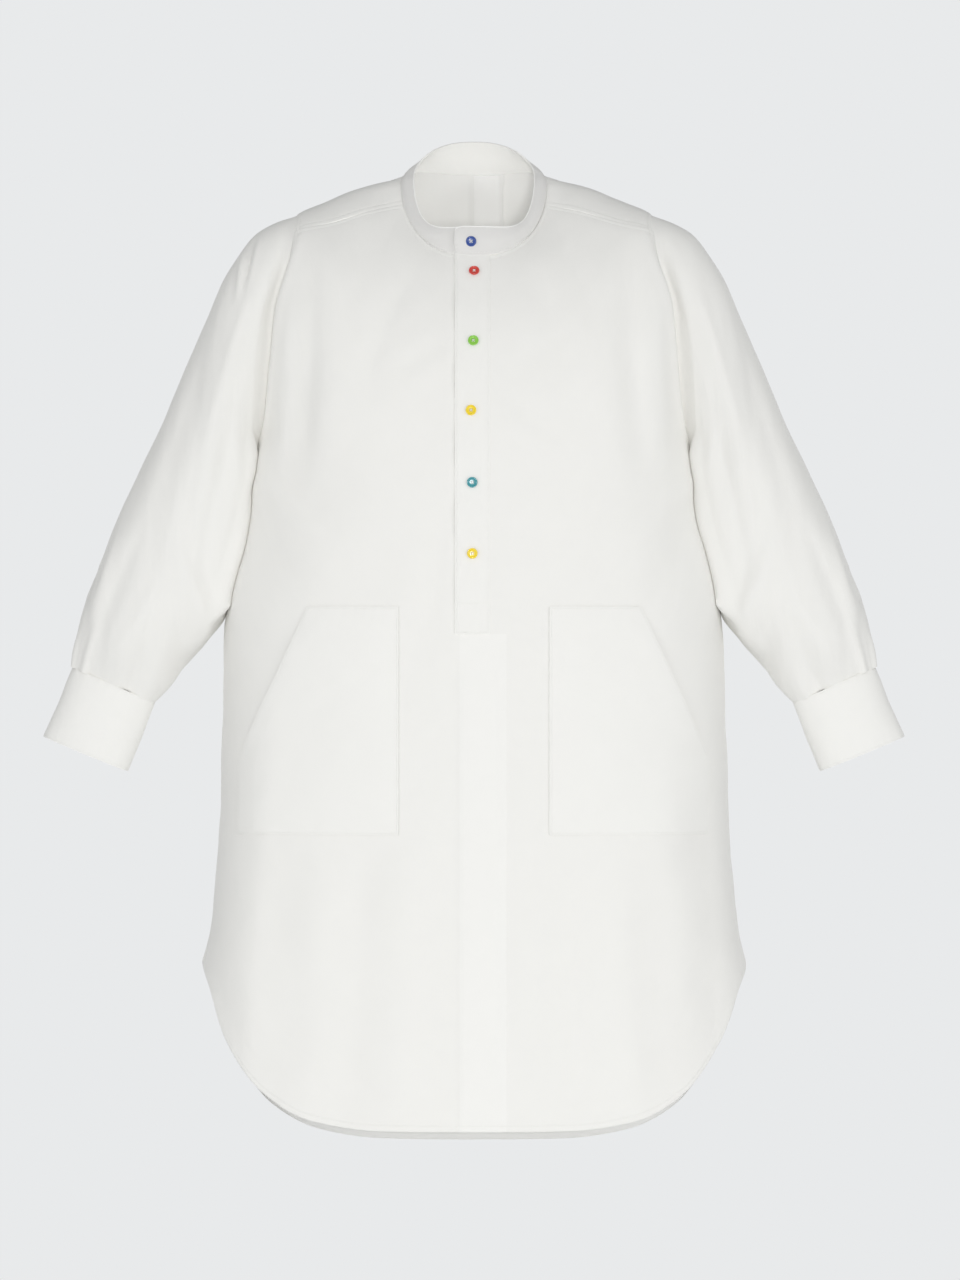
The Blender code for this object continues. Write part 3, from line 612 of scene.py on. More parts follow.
def armhole(turn):
    """Angle and ring on the armhole: turn 0 on the shoulder, 180 under the arm, front first."""
    turn = np.radians(turn)
    middle = (ARMHOLE_TOP + UNDERARM_RING) / 2
    half = (UNDERARM_RING - ARMHOLE_TOP) / 2
    reach = np.where(np.sin(turn) > 0, ARMHOLE_FRONT, ARMHOLE_BACK)
    angle = 90 - reach * power(np.sin(turn), ARMHOLE_SQUARE)
    place = middle - half * power(np.cos(turn), ARMHOLE_SQUARE)
    return stacked(angle, place)


SEAM_END = math.degrees(math.asin((SEAM_TURN / ARMHOLE_FRONT) ** (1 / ARMHOLE_SQUARE)))
FRONT_TURNS = np.concatenate((np.linspace(0, SEAM_END, FLAP_ROWS + 1)[:-1],
                              np.linspace(SEAM_END, 180, ARMHOLE_STEPS - 1)))
BACK_TURNS = np.linspace(-180, 0, ARMHOLE_STEPS + 1)


def shoulder_seam(share):
    """Angle and ring along the forward shoulder seam, from the neck to the armhole."""
    end_place = armhole(SEAM_END)[1]
    angle = 90 - SEAM_TURN - SHOULDER_SEAM_BOW * np.sin(math.pi * share)
    return stacked(angle, share * end_place)


def coons(bottom, top, left, right):
    """Fill a four-sided patch from its edges. Rows run from bottom to top."""
    u = np.linspace(0, 1, len(bottom))[None, :, None]
    v = np.linspace(0, 1, len(left))[:, None, None]
    across = (1 - v) * bottom[None] + v * top[None]
    along = (1 - u) * left[:, None] + u * right[:, None]
    low = (1 - u) * bottom[0] + u * bottom[-1]
    high = (1 - u) * top[0] + u * top[-1]
    return across + along - (1 - v) * low - v * high


def settle(targets, grid):
    """Slide each angle and ring until its point on the body is the nearest to its target."""
    for _ in range(SETTLE_STEPS):
        angle, place = grid[..., 0], grid[..., 1]
        miss = targets - ring_point(BODY, angle, place)
        turn, fall = ring_slopes(BODY, angle, place)
        turn_turn, turn_fall, fall_fall = (np.sum(a * b, axis=-1) for a, b in
                                           ((turn, turn), (turn, fall), (fall, fall)))
        turn_miss, fall_miss = np.sum(turn * miss, axis=-1), np.sum(fall * miss, axis=-1)
        area = turn_turn * fall_fall - turn_fall ** 2
        step = stacked((fall_fall * turn_miss - turn_fall * fall_miss) / area,
                       (turn_turn * fall_miss - turn_fall * turn_miss) / area)
        grid = grid + SETTLE_SHARE * step
    return grid


def side_patch(back):
    """Angles and rings of one half panel beside its middle columns, on the +X side."""
    inner_x = (BACK_COLUMNS if back else FRONT_COLUMNS)[-1]
    name = "back_z" if back else "front_z"
    middle_rows = BACK_ROWS if back else FRONT_ROWS
    lower_left = place_at(name, middle_rows)
    turns = BACK_TURNS if back else FRONT_TURNS[FLAP_ROWS:][::-1]
    upper_left = np.linspace(lower_left[-1], 0, len(turns))

    def beside_middle(places):
        return stacked(angle_at(inner_x, places, back), places)

    side_z = np.linspace(HEM[-1][0], BODY_RINGS[UNDERARM_RING][1], len(middle_rows))
    side_seam = stacked(np.full(len(side_z), 90.0), place_at("side_z", side_z))
    lower_middle = beside_middle(lower_left)
    hem_angles = np.linspace(lower_middle[0][0], 90, SIDE_STEPS + 1)
    hem_z = read(HEM_CURVE[name], (180 - hem_angles if back else hem_angles) / HEM_STEP)
    hem = stacked(hem_angles, place_at("side_z", hem_z))
    lower_middle[0] = hem[0]
    underarm = np.linspace(lower_middle[-1], side_seam[-1], SIDE_STEPS + 1)
    lower = coons(hem, underarm, lower_middle, side_seam)

    upper_middle = beside_middle(upper_left)
    neck_end = 90 if back else 90 - SEAM_TURN
    neck = np.linspace(upper_middle[-1], (neck_end, 0), NECK_STEPS + 1)
    seam_share = np.linspace(0, 1, SEAM_STEPS + 1)
    ridge = stacked(np.full(SEAM_STEPS + 1, 90.0), seam_share * ARMHOLE_TOP)
    seam = shoulder_seam(seam_share)
    top = np.concatenate((neck, (ridge if back else seam)[1:]))
    edges = (underarm, top, upper_middle, armhole(turns))
    targets = coons(*(ring_point(BODY, edge[:, 0], edge[:, 1]) for edge in edges))
    upper = coons(*edges)
    upper[1:-1, 1:-1] = settle(targets, upper)[1:-1, 1:-1]
    patch = np.concatenate((lower, upper[1:]))
    if back:
        turn_over = np.linspace((90, 0), (90 - SEAM_TURN, 0), FLAP_ROWS + 1)
        flap = coons(ridge, seam, turn_over, armhole(FRONT_TURNS[:FLAP_ROWS + 1]))
        beside = np.repeat(top[None, :NECK_STEPS], FLAP_ROWS, axis=0)
        patch = np.concatenate((patch, np.concatenate((beside, flap[1:]), axis=1)))
    return patch


def inset(moved, points, edge, inside, distance=SEAM_INSET):
    """Draw one edge of a grid in towards the points beside it."""
    moved[edge] += unit(points[inside] - points[edge]) * distance


ALL = slice(None)
BOTTOM = ((0, ALL), (1, ALL))
START = ((ALL, 0), (ALL, 1))
END = ((ALL, -1), (ALL, -2))


def tube_point(sections, turn, place):
    """A point on a sleeve or cuff: turn 0 on the outer line, 90 at the front, 180 inside."""
    row = {name: read(column, place) for name, column in sections.items()}
    cosine, sine = np.cos(np.radians(turn)), np.sin(np.radians(turn))
    x = (row["outer_x"] + row["inner_x"]) / 2 + (row["outer_x"] - row["inner_x"]) / 2 * cosine
    z = (row["outer_z"] + row["inner_z"]) / 2 + (row["outer_z"] - row["inner_z"]) / 2 * cosine
    y = row["centre_y"] - row["half_depth"] * power(sine, TUBE_SQUARE)
    return stacked(x, y, z)


def armhole_point(turn):
    """The sleeve's edge on the armhole, just clear of the body under the arm."""
    grid = armhole(turn)
    points = ring_point(BODY, grid[..., 0], grid[..., 1])
    normals = ring_normal(BODY, grid[..., 0], grid[..., 1])
    under = np.clip(-np.cos(np.radians(turn)) + UNDERARM_EARLY, 0, 1)
    return points + normals * (UNDERARM_CLEARANCE * under)[..., None]


def sleeve_point(turn, place):
    """A point on the sleeve, which starts on the armhole and settles into its own sections."""
    tube = tube_point(SLEEVE, turn, place)
    fade = np.clip(1 - place / SLEEVE_FADE, 0, 1) ** 2
    start = armhole_point(turn) - tube_point(SLEEVE, turn, np.zeros_like(place))
    return tube + start * fade[..., None]


def tube_normal(point, turn, place):
    """The outward direction on a tube given by its point function."""
    around = point(turn + 0.5, place) - point(turn - 0.5, place)
    down = point(turn, place + PROBE / 2) - point(turn, np.maximum(place - PROBE / 2, 0))
    return unit(np.cross(around, down))


def from_outer(turn):
    """How far a turn lies from the sleeve's outer line, either way round."""
    return np.abs((turn + 180) % 360 - 180)


def tuck_height(turn, place):
    """Ridges of the tucks that take the sleeve into the cuff."""
    last = len(SLEEVE_SECTIONS) - 1
    height = np.zeros_like(place)
    for centre in TUCKS:
        share = np.clip(1 - np.abs(turn - centre) / TUCK_HALF_WIDTH, 0, 1)
        height = height + TUCK_HEIGHT * share
    return height * ramp(place, last - TUCK_START, last - TUCK_FULL)


def mirror(points, side):
    """Points of the wearer's left side, on the given side."""
    return points * np.array([side, 1, 1])


def lap_raise(from_end, span):
    """How far the lapping end of a band stands off the end below it."""
    return (BAND + LAYER_GAP) * (1 - ramp(from_end, span, LAP_SETTLE * span))


def subdivide(marks, step):
    """Values from the first mark to the last that keep each mark, no more than a step apart."""
    pieces = [np.linspace(a, b, max(1, math.ceil(abs(b - a) / step)) + 1)[:-1]
              for a, b in zip(marks, marks[1:])]
    return np.concatenate(pieces + [[marks[-1]]])


FRONT_COLUMNS = subdivide((-MIDDLE_HALF, PLACKET_LEFT, SLIT_LEFT, SLIT_RIGHT, PLACKET_RIGHT,
                           MIDDLE_HALF), MIDDLE_CELL)
BACK_COLUMNS = subdivide(BACK_MARKS, MIDDLE_CELL)
FRONT_ROWS = subdivide((HEM[0][0], PLACKET_END_Z, SLIT_END_Z, BODY_RINGS[UNDERARM_RING][3]), CELL)
BACK_ROWS = subdivide((HEM[0][1], BODY_RINGS[UNDERARM_RING][5]), CELL)


def panel_grid(back):
    """Angles and rings of a whole panel, from its -X side to its +X side."""
    columns = BACK_COLUMNS if back else FRONT_COLUMNS
    right = side_patch(back)
    left = right[:, ::-1].copy()
    left[..., 0] = -left[..., 0]
    places = right[:, 0, 1]
    middle = [stacked(angle_at(x, places, back), places) for x in columns[1:-1]]
    if back:
        left[..., 0] += 360
    return np.concatenate((left, np.stack(middle, axis=1), right), axis=1)


def reach_along(points, axis=0):
    """How far each point lies from the first one on its line."""
    steps = np.linalg.norm(np.diff(points, axis=axis), axis=-1)
    start = np.zeros_like(np.take(steps, [0], axis))
    return np.concatenate((start, np.cumsum(steps, axis=axis)), axis=axis)


def lay_lines(grid, point, distances, axis, from_end):
    """Replace the lines beside one edge of a grid by lines at fixed distances from it."""
    turned = np.swapaxes(grid, 0, axis)
    turned = turned[::-1] if from_end else turned
    near = turned[:SKIPPED + 1]
    reach = reach_along(point(near))
    scale = np.minimum(1, LINES_REACH * reach[-1] / distances[-1])
    lines = np.empty((len(distances),) + near.shape[1:])
    for j in range(near.shape[1]):
        for k in range(2):
            lines[:, j, k] = np.interp(np.multiply(distances, scale[j]), reach[:, j], near[:, j, k])
    turned = np.concatenate((turned[:1], lines, turned[SKIPPED:]))
    turned = turned[::-1] if from_end else turned
    return np.swapaxes(turned, 0, axis)


def lay_edges(grid, point, distances, edges=EDGES):
    """Lay the lines beside several edges of a grid."""
    for axis, from_end in edges:
        grid = lay_lines(grid, point, distances, axis, from_end)
    return grid


def edge_distances(points):
    """How far each point of a grid lies from the grid's four edges, along its lines."""
    down, across = reach_along(points), reach_along(points, 1)
    return {"bottom": down, "top": down[-1] - down, "start": across, "end": across[:, -1:] - across}


def folds(rows, a, b, stretch=1.0):
    """Height of listed soft folds at the places (a, b)."""
    height = np.zeros(np.shape(a))
    for row in rows:
        fold = dict(zip(FOLD_COLUMNS, row))
        run_a, run_b = (fold["x1"] - fold["x0"]) * stretch, fold["z1"] - fold["z0"]
        length = math.hypot(run_a, run_b)
        off_a, off_b = (a - fold["x0"]) * stretch, b - fold["z0"]
        along = (off_a * run_a + off_b * run_b) / length ** 2
        kept = np.clip(along, 0, 1)
        off = (off_a * run_b - off_b * run_a) / length - fold["bend"] * 4 * kept * (1 - kept)
        width = fold["width"] * np.where(off > 0, *FOLD_SLOPES)
        beside = (np.abs(off) - ROLL_PLACE * fold["width"]) / fold["width"]
        profile = bell(off, width) - ROLL_SHARE * bell(beside, 1)
        height += fold["height"] * within(along, FOLD_FADE) * profile
    return height


def waves(a, b):
    """Slow uneven waves of the cloth."""
    bend = WAVE_BEND * np.sin(WAVE_BEND_STEP * (a - b))
    return sum(size * np.sin(wave_a * a + wave_b * b + phase + bend)
               for wave_a, wave_b, phase, size in WAVES)


def stitch_dip(distance, line, along, depth):
    """The dip of a line of stitches, with the small puckers that it draws beside it."""
    quick, slow = PUCKER_STEPS
    pucker = np.sin(quick * along + PUCKER_BEND * np.sin(slow * along))
    pucker = pucker * bell(distance - line, PUCKER_WIDTH)
    return PUCKER_HEIGHT * pucker - depth * bell(distance - line, STITCH_WIDTH)


def sew(height, far, edges):
    """Draw a height down along a piece's edges, and along the stitches beside them."""
    for side, (depth, width, line, stitch_depth) in edges.items():
        along = far["bottom"] if side in ("start", "end") else far["start"]
        height += stitch_dip(far[side], line, along, stitch_depth) - depth * bell(far[side], width)


def add_object(name, data):
    piece = bpy.data.objects.new(name, data)
    bpy.context.scene.collection.objects.link(piece)
    return piece


def make_mesh(name, vertices, faces, corner_uv=None):
    """A mesh piece from points in millimetres."""
    mesh = bpy.data.meshes.new(name)
    mesh.from_pydata((np.asarray(vertices) * MM).tolist(), [], faces)
    if corner_uv is not None:
        layer = mesh.uv_layers.new(name="cloth")
        layer.data.foreach_set("uv", np.asarray(corner_uv, dtype=np.float32).ravel())
    mesh.validate()
    return add_object(name, mesh)


def smooth(mesh, sharp):
    """Shade a mesh smooth, apart from edges that turn by more than so many degrees."""
    mesh.shade_smooth()
    mesh.set_sharp_from_angle(angle=math.radians(sharp))


def shell(name, outer, inner, material, keep=None, closed=False, lining=None, special=None):
    """A closed thin piece of cloth between two grids of points, with its cloth lengths as UV.

    A special area is a material, where it lies on the grid, and whether it is on the inside.
    """
    rows, columns = outer.shape[:2]
    wide = np.concatenate((outer, outer[:, :1]), axis=1) if closed else outer
    far = edge_distances(wide)
    cloth_uv = stacked(far["start"] - far["start"][:, -1:] / 2, far["bottom"]) * MM
    i, j = np.meshgrid(np.arange(rows - 1), np.arange(wide.shape[1] - 1), indexing="ij")
    i, j = (i.ravel(), j.ravel()) if keep is None else (i[keep], j[keep])
    corner_i = stacked(i, i, i + 1, i + 1)
    corner_j = stacked(j, j + 1, j + 1, j)
    quads = corner_i * columns + corner_j % columns
    quad_uv = cloth_uv[corner_i, corner_j]
    count = rows * columns
    heads, tails = quads.ravel(), np.roll(quads, -1, axis=1).ravel()
    open_edge = ~np.isin(heads * count + tails, tails * count + heads)
    heads, tails = heads[open_edge], tails[open_edge]
    head_uv = quad_uv.reshape(-1, 2)[open_edge]
    tail_uv = np.roll(quad_uv, -1, axis=1).reshape(-1, 2)[open_edge]
    border = stacked(tails, heads, heads + count, tails + count)
    border_uv = np.stack((tail_uv, head_uv, head_uv, tail_uv), axis=1)
    faces = np.concatenate((quads, quads[:, ::-1] + count, border))
    corner_uv = np.concatenate((quad_uv, quad_uv[:, ::-1], border_uv))
    used, faces = np.unique(faces, return_inverse=True)
    faces = faces.reshape(-1, 4)
    points = np.concatenate((outer.reshape(-1, 3), inner.reshape(-1, 3)))[used]
    a, b, c, d = (points[faces[:, k]] for k in range(4))
    if np.sum(np.cross(c - a, d - b) * (a + b + c + d)) < 0:
        faces, corner_uv = faces[:, ::-1], corner_uv[:, ::-1]
    piece = make_mesh(name, points, faces.tolist(), corner_uv)
    which = np.zeros(len(faces), dtype=np.int32)
    piece.data.materials.append(material)
    if lining is not None:
        piece.data.materials.append(lining)
        which[len(quads):] = 1
    if special is not None:
        extra, area, inside = special
        piece.data.materials.append(extra)
        start = len(quads) if inside else 0
        which[start:start + len(quads)][area[i, j]] = 2
    piece.data.polygons.foreach_set("material_index", which)
    smooth(piece.data, CLOTH_SHARP)
    return piece


def grid_normals(points, away):
    """Outward directions of a grid of points, on the same side as the given ones."""
    normals = unit(np.cross(np.gradient(points, axis=0), np.gradient(points, axis=1)))
    return normals * np.sign(np.sum(normals * away, axis=-1, keepdims=True))


def belong(piece, node=None):
    """Let a piece ride the one body, and stand for a solid if one is named."""
    if node is not None:
        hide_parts(node)
    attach(piece, "root")


def sit(piece, node):
    """Let a cloth piece stand for its solid."""
    belong(piece, node)


STITCHES = {}


def stitch(group, points, away):
    """Sew a row of stitches along a line of points into a group."""
    STITCHES.setdefault(group, []).append((points + away * STITCH_LIFT, away))


def stitch_corners(points, away):
    """Six corners of every stitch on a line: its two ends, its two sides, its foot and its top."""
    reach = reach_along(points)
    count = int(reach[-1] / STITCH_SPACING)
    middle = (np.arange(count) + 0.5) * reach[-1] / max(count, 1)

    def at(values, where):
        return np.stack([np.interp(where, reach, values[:, k]) for k in range(3)], axis=-1)

    centre, up = at(points, middle), unit(at(away, middle))
    along = unit(at(points, middle + 0.5) - at(points, middle - 0.5))
    axes = zip((along, np.cross(along, up), up), STITCH_SIZE)
    corners = [centre + axis * size * end / 2 for axis, size in axes for end in (-1, 1)]
    return np.stack(corners, axis=1).reshape(-1, 3)


def make_stitches(material):
    """One piece for each group of stitches: small pointed threads lying on the cloth."""
    for group, lines in STITCHES.items():
        vertices = np.concatenate([stitch_corners(*line) for line in lines])
        starts = np.arange(0, len(vertices), 6)[:, None, None]
        piece = make_mesh(group, vertices, (starts + STITCH_FACES).reshape(-1, 3).tolist())
        shape = bmesh.new()
        shape.from_mesh(piece.data)
        bmesh.ops.recalc_face_normals(shape, faces=shape.faces)
        shape.to_mesh(piece.data)
        shape.free()
        piece.data.shade_smooth()
        piece.data.materials.append(material)
        belong(piece)


class Nodes:
    """Short calls for building a material's nodes."""

    def __init__(self, name):
        self.material = bpy.data.materials.new(name)
        self.material.use_nodes = True
        self.tree = self.material.node_tree
        self.shader = self.tree.nodes["Principled BSDF"]

    def new(self, kind, **settings):
        node = self.tree.nodes.new(kind)
        for key, value in settings.items():
            setattr(node, key, value)
        return node

    def link(self, source, target):
        self.tree.links.new(source, target)

    def math(self, operation, a, b=None):
        node = self.new("ShaderNodeMath", operation=operation)
        for socket, value in zip(node.inputs, (a, b)):
            if isinstance(value, (int, float)):
                socket.default_value = value
            elif value is not None:
                self.link(value, socket)
        return node.outputs[0]

    def noise(self, vector, scale, detail=3.0):
        node = self.new("ShaderNodeTexNoise")
        node.inputs["Scale"].default_value = scale
        node.inputs["Detail"].default_value = detail
        self.link(vector, node.inputs["Vector"])
        return node.outputs["Fac"]

    def bump(self, height, strength, distance, below=None):
        node = self.new("ShaderNodeBump")
        node.inputs["Strength"].default_value = strength
        node.inputs["Distance"].default_value = distance
        self.link(height, node.inputs["Height"])
        if below is not None:
            self.link(below, node.inputs["Normal"])
        return node.outputs["Normal"]

    def paint(self, share, colour, dark, light):
        """Let the surface vary between a darker and a lighter share of its colour."""
        node = self.new("ShaderNodeMix", data_type="RGBA")
        self.link(share, node.inputs["Factor"])
        node.inputs["A"].default_value = (*(channel * dark for channel in colour), 1)
        node.inputs["B"].default_value = (*(min(1.0, channel * light) for channel in colour), 1)
        self.link(node.outputs["Result"], self.shader.inputs["Base Color"])

    def surface(self, values):
        for key, value in values.items():
            self.shader.inputs[key].default_value = value


def cotton(name, colour):
    """Matt white shirting: a plain weave with slightly uneven yarns."""
    nodes = Nodes(name)
    uv = nodes.new("ShaderNodeUVMap", uv_map="cloth").outputs["UV"]
    split = nodes.new("ShaderNodeSeparateXYZ")
    nodes.link(uv, split.inputs["Vector"])
    yarn = math.pi / (YARN * MM)
    threads = (nodes.math("SINE", nodes.math("MULTIPLY", split.outputs[axis], yarn))
               for axis in ("X", "Y"))
    weave = nodes.math("MULTIPLY", *threads)
    stretched = []
    for scale in ((1, SLUB_STRETCH, 1), (SLUB_STRETCH, 1, 1)):
        mapping = nodes.new("ShaderNodeMapping")
        mapping.inputs["Scale"].default_value = scale
        nodes.link(uv, mapping.inputs["Vector"])
        stretched.append(nodes.noise(mapping.outputs["Vector"], *SLUB_NOISE))
    slub = nodes.math("MULTIPLY", nodes.math("ADD", *stretched), 0.5)
    rumple = nodes.noise(uv, *RUMPLE_NOISE)
    tone = nodes.math("ADD", nodes.math("MULTIPLY", slub, SLUB_TONE),
                      nodes.math("MULTIPLY", rumple, 1 - SLUB_TONE))
    nodes.paint(tone, colour, COTTON_DARK, COTTON_LIGHT)
    normal = nodes.bump(rumple, *RUMPLE_BUMP)
    normal = nodes.bump(slub, *SLUB_BUMP, below=normal)
    normal = nodes.bump(weave, *WEAVE_BUMP, below=normal)
    nodes.link(normal, nodes.shader.inputs["Normal"])
    nodes.surface(COTTON_SURFACE)
    return nodes.material


def simple_material(name, colour, roughness, speckle, coat=0.0, scale=900):
    """A plain surface with a faint mottled tone and fine unevenness."""
    nodes = Nodes(name)
    place = nodes.new("ShaderNodeTexCoord").outputs["Object"]
    mottle = nodes.noise(place, scale)
    nodes.paint(mottle, colour, 1 - speckle, 1 + speckle)
    nodes.link(nodes.bump(mottle, *PLAIN_BUMP), nodes.shader.inputs["Normal"])
    nodes.surface({"Roughness": roughness, "Coat Weight": coat})
    return nodes.material


SINGLE = cotton("cotton_single", (0.850, 0.842, 0.812))
DOUBLE = cotton("cotton_doubled", (0.860, 0.853, 0.823))
# The inside is a lighter copy of the same cotton: painted light on the inner faces
INSIDE_PAINTED_LIGHT = cotton("cotton_inside_painted_light", (0.925, 0.920, 0.898))
# The pleat's folded band inside the back: doubled cloth, made lighter still as painted light
DOUBLED_INSIDE_PAINTED_LIGHT = cotton("cotton_doubled_inside_painted_light", (0.960, 0.955, 0.938))
PLEATED = cotton("cotton_pleated", (0.870, 0.863, 0.834))
# A lighter cotton along the collar's rim: a painted highlight
RIM_PAINTED_HIGHLIGHT = cotton("cotton_rim_painted_highlight", (0.940, 0.935, 0.915))
# A darker copy of the cotton for the collar's outside: painted shade
COLLAR_PAINTED_SHADE = cotton("cotton_collar_painted_shade", (0.740, 0.731, 0.712))
THREAD = simple_material("cotton_thread", (0.86, 0.85, 0.82), 0.7, 0.05)


def front_relief(x, z):
    """Height of the front's pleat, folds and waves."""
    calm = ramp(np.abs(x), *CALM_MIDDLE) * (1 - CALM_WAVES) + CALM_WAVES
    return (PLEAT_SHARE * front_pleat(x, z) + FRONT_FOLD_SHARE * folds(FRONT_FOLDS, x, z)
            + waves(x, z) * calm)


def back_relief(x, z):
    """Height of the back's folds and waves, less the groove of its pleat below the neck seam."""
    return (BACK_FOLD_SHARE * folds(BACK_FOLDS, x, z) + waves(x + BACK_WAVE_START, z)
            - back_groove(x, z) * ramp(z, *SEWN_Z))


def body_point(grid):
    return ring_point(BODY, grid[..., 0], grid[..., 1])


def body_normal(grid):
    return ring_normal(BODY, grid[..., 0], grid[..., 1])


def inner_fold(x, z):
    """The pleat's spare width inside the back, which lies towards the wearer's left."""
    across = ramp(x, INNER_FOLD["left"], INNER_FOLD["left"] + INNER_FOLD["soft"])
    across = across * (1 - ramp(x, INNER_FOLD["right"] - INNER_FOLD["sharp"], INNER_FOLD["right"]))
    return across * ramp(z, *INNER_FOLD_Z)


def armhole_sink(place):
    """How far the front armhole seam lies below the cloth beside it, by ring number."""
    middle, half = (ARMHOLE_TOP + UNDERARM_RING) / 2, (UNDERARM_RING - ARMHOLE_TOP) / 2
    up = power(np.clip((middle - place) / half, -1, 1), 1 / ARMHOLE_SQUARE)
    return SINK_DEPTH * within(np.degrees(np.arccos(up)), SINK_TURNS)


def pressed(points):
    """1 where the sleeve and the side of the body lie against each other, below the armhole."""
    beside = ramp(np.abs(points[..., 1] - PRESSED_Y), *PRESSED_REACH)
    return beside * within(points[..., 2], PRESSED_Z)


def near_armhole(points):
    """Share of the folds and waves that is left: less by the upper armhole and the shoulder."""
    x, z = np.abs(points[..., 0]), points[..., 2]
    return 1 - RUN_OUT_SHARE * ramp(x, *RUN_OUT_X) * ramp(z, *RUN_OUT_Z)


def cloth_cells(grid, back):
    """Which cells of a panel's grid are cloth, without the open neck or the placket's slit."""
    keep = np.ones((grid.shape[0] - 1, grid.shape[1] - 1), bool)
    if back:
        keep[-FLAP_ROWS:, SEAM_STEPS:-SEAM_STEPS] = False
    else:
        left, right = (SIDE_STEPS + nearest(FRONT_COLUMNS, x) for x in (SLIT_LEFT, SLIT_RIGHT))
        keep[nearest(FRONT_ROWS, SLIT_END_Z):, left:right] = False
    return np.pad(keep, ADDED_LINES, mode="edge")


def make_panel(back):
    """The front or the back, its points, and the stitches along its seams and hem."""
    name = "back" if back else "front"
    grid = panel_grid(back)
    keep = cloth_cells(grid, back)
    grid = lay_edges(grid, body_point, SEAM_LINES)
    base, normals = body_point(grid), body_normal(grid)
    far = edge_distances(base)
    x, z = base[..., 0], base[..., 2]
    relief = (back_relief if back else front_relief)(x, z) * near_armhole(base)
    relief += (PRESS - relief) * pressed(base)
    full = within(z, FULL_Z) * ramp(np.abs(x), *FULL_X)
    relief += SIDE_FULLNESS * full * bell(np.abs(base[..., 1]) - CORNER_Y, CORNER_WIDTH)
    hem = 1 - ramp(far["bottom"], *HEM_EDGE)
    relief += HEM_RISE * hem
    sew(relief, far, PANEL_EDGES)
    thick = CLOTH + HEM_FULLNESS * hem
    if back:
        folded = inner_fold(x, z)
        thick = thick + INNER_FOLD["height"] * folded - back_groove(x, z)
        thick = np.maximum(thick, THINNEST * CLOTH)
        # The folded band inside takes the doubled cotton that carries painted light
        special = (DOUBLED_INSIDE_PAINTED_LIGHT, folded > 0.5, True)
    else:
        for side, column in (("start", 0), ("end", -1)):
            sink = armhole_sink(grid[:, column, 1])[:, None]
            swell = SWELL_SHARE * bell(far[side] - SWELL_PLACE, SWELL_WIDTH)
            relief -= sink * (1 - ramp(far[side], 0, SINK_ROLL) - swell)
        left, right = PLEAT_DOUBLED
        special = (PLEATED, (x > left) & (x < right) & (z < PLACKET_END_Z), False)
    outer = base + normals * relief[..., None]
    for edge in (START, END):
        inset(outer, base, *edge)
    inner = outer - normals * thick[..., None]
    # Inner faces take the inside cotton, whose lighter tone is painted light
    piece = shell(name + "_cloth", outer, inner, SINGLE, keep, lining=INSIDE_PAINTED_LIGHT, special=special)
    away = grid_normals(outer, normals)
    last, seam = -1 - SEAM_STITCH, SEAM_STEPS + ADDED_LINES - 1
    lines = [(ALL, SEAM_STITCH), (ALL, last), (SEAM_STITCH, ALL)]
    if back:
        lines += [(last, slice(0, seam)), (last, slice(-seam, None))]
    for line in lines:
        stitch(name + "_stitches", outer[line], away[line])
    return piece, outer


def strip(grid, lift, thick):
    """Outer and inner points of a band or patch that lies on the front."""
    grid = lay_edges(grid, body_point, BAND_LINES)
    base, normals = body_point(grid), body_normal(grid)
    far = edge_distances(base)
    above = lift(far, base)
    thick = np.minimum(thick, above - LAYER_GAP * CLEAR_SHARE)
    height = front_relief(base[..., 0], base[..., 2]) + above
    sew(height, far, dict.fromkeys(far, BAND_SEAM))
    outer = base + normals * height[..., None]
    return outer, outer - normals * thick[..., None], grid_normals(outer, normals)


def stitch_edges(group, outer, away, sides=("bottom", "top", "start", "end")):
    """Stitches just inside the named edges of a band or patch."""
    line = BAND_STITCH
    rows = {"bottom": (line, slice(line, -line)), "top": (-1 - line, slice(line, -line)),
            "start": (slice(line, -line), line), "end": (slice(line, -line), -1 - line)}
    for side in sides:
        stitch(group, outer[rows[side]], away[rows[side]])


def front_strip_grid(columns, heights):
    """Angles and rings over the front between columns of constant x."""
    places = place_at("front_z", heights)
    return np.stack([stacked(angle_at(x, places), places) for x in columns], axis=1)


def placket_lift(far, base):
    """The upper band lies flat by each button and stands a little off the cloth between them."""
    heights = np.array([height for _, _, height, _ in BUTTONS[1:]])
    gap = np.min(np.abs(base[..., 2][..., None] - heights), axis=-1)
    loose = ramp(gap, PLACKET_LOOSE["near"], PLACKET_LOOSE["far"])
    loose = loose * (1 - ramp(far["start"], 0, PLACKET_LOOSE["edge"]))
    foot = PLACKET_END_Z + PLACKET_LOOSE["foot"]
    loose = PLACKET_LOOSE["height"] * loose * ramp(base[..., 2], PLACKET_END_Z, foot)
    flat = PLACKET_FLAT["height"] * (1 - ramp(far["end"], 0, PLACKET_FLAT["width"]))
    return LAYER_GAP + BAND + loose - flat


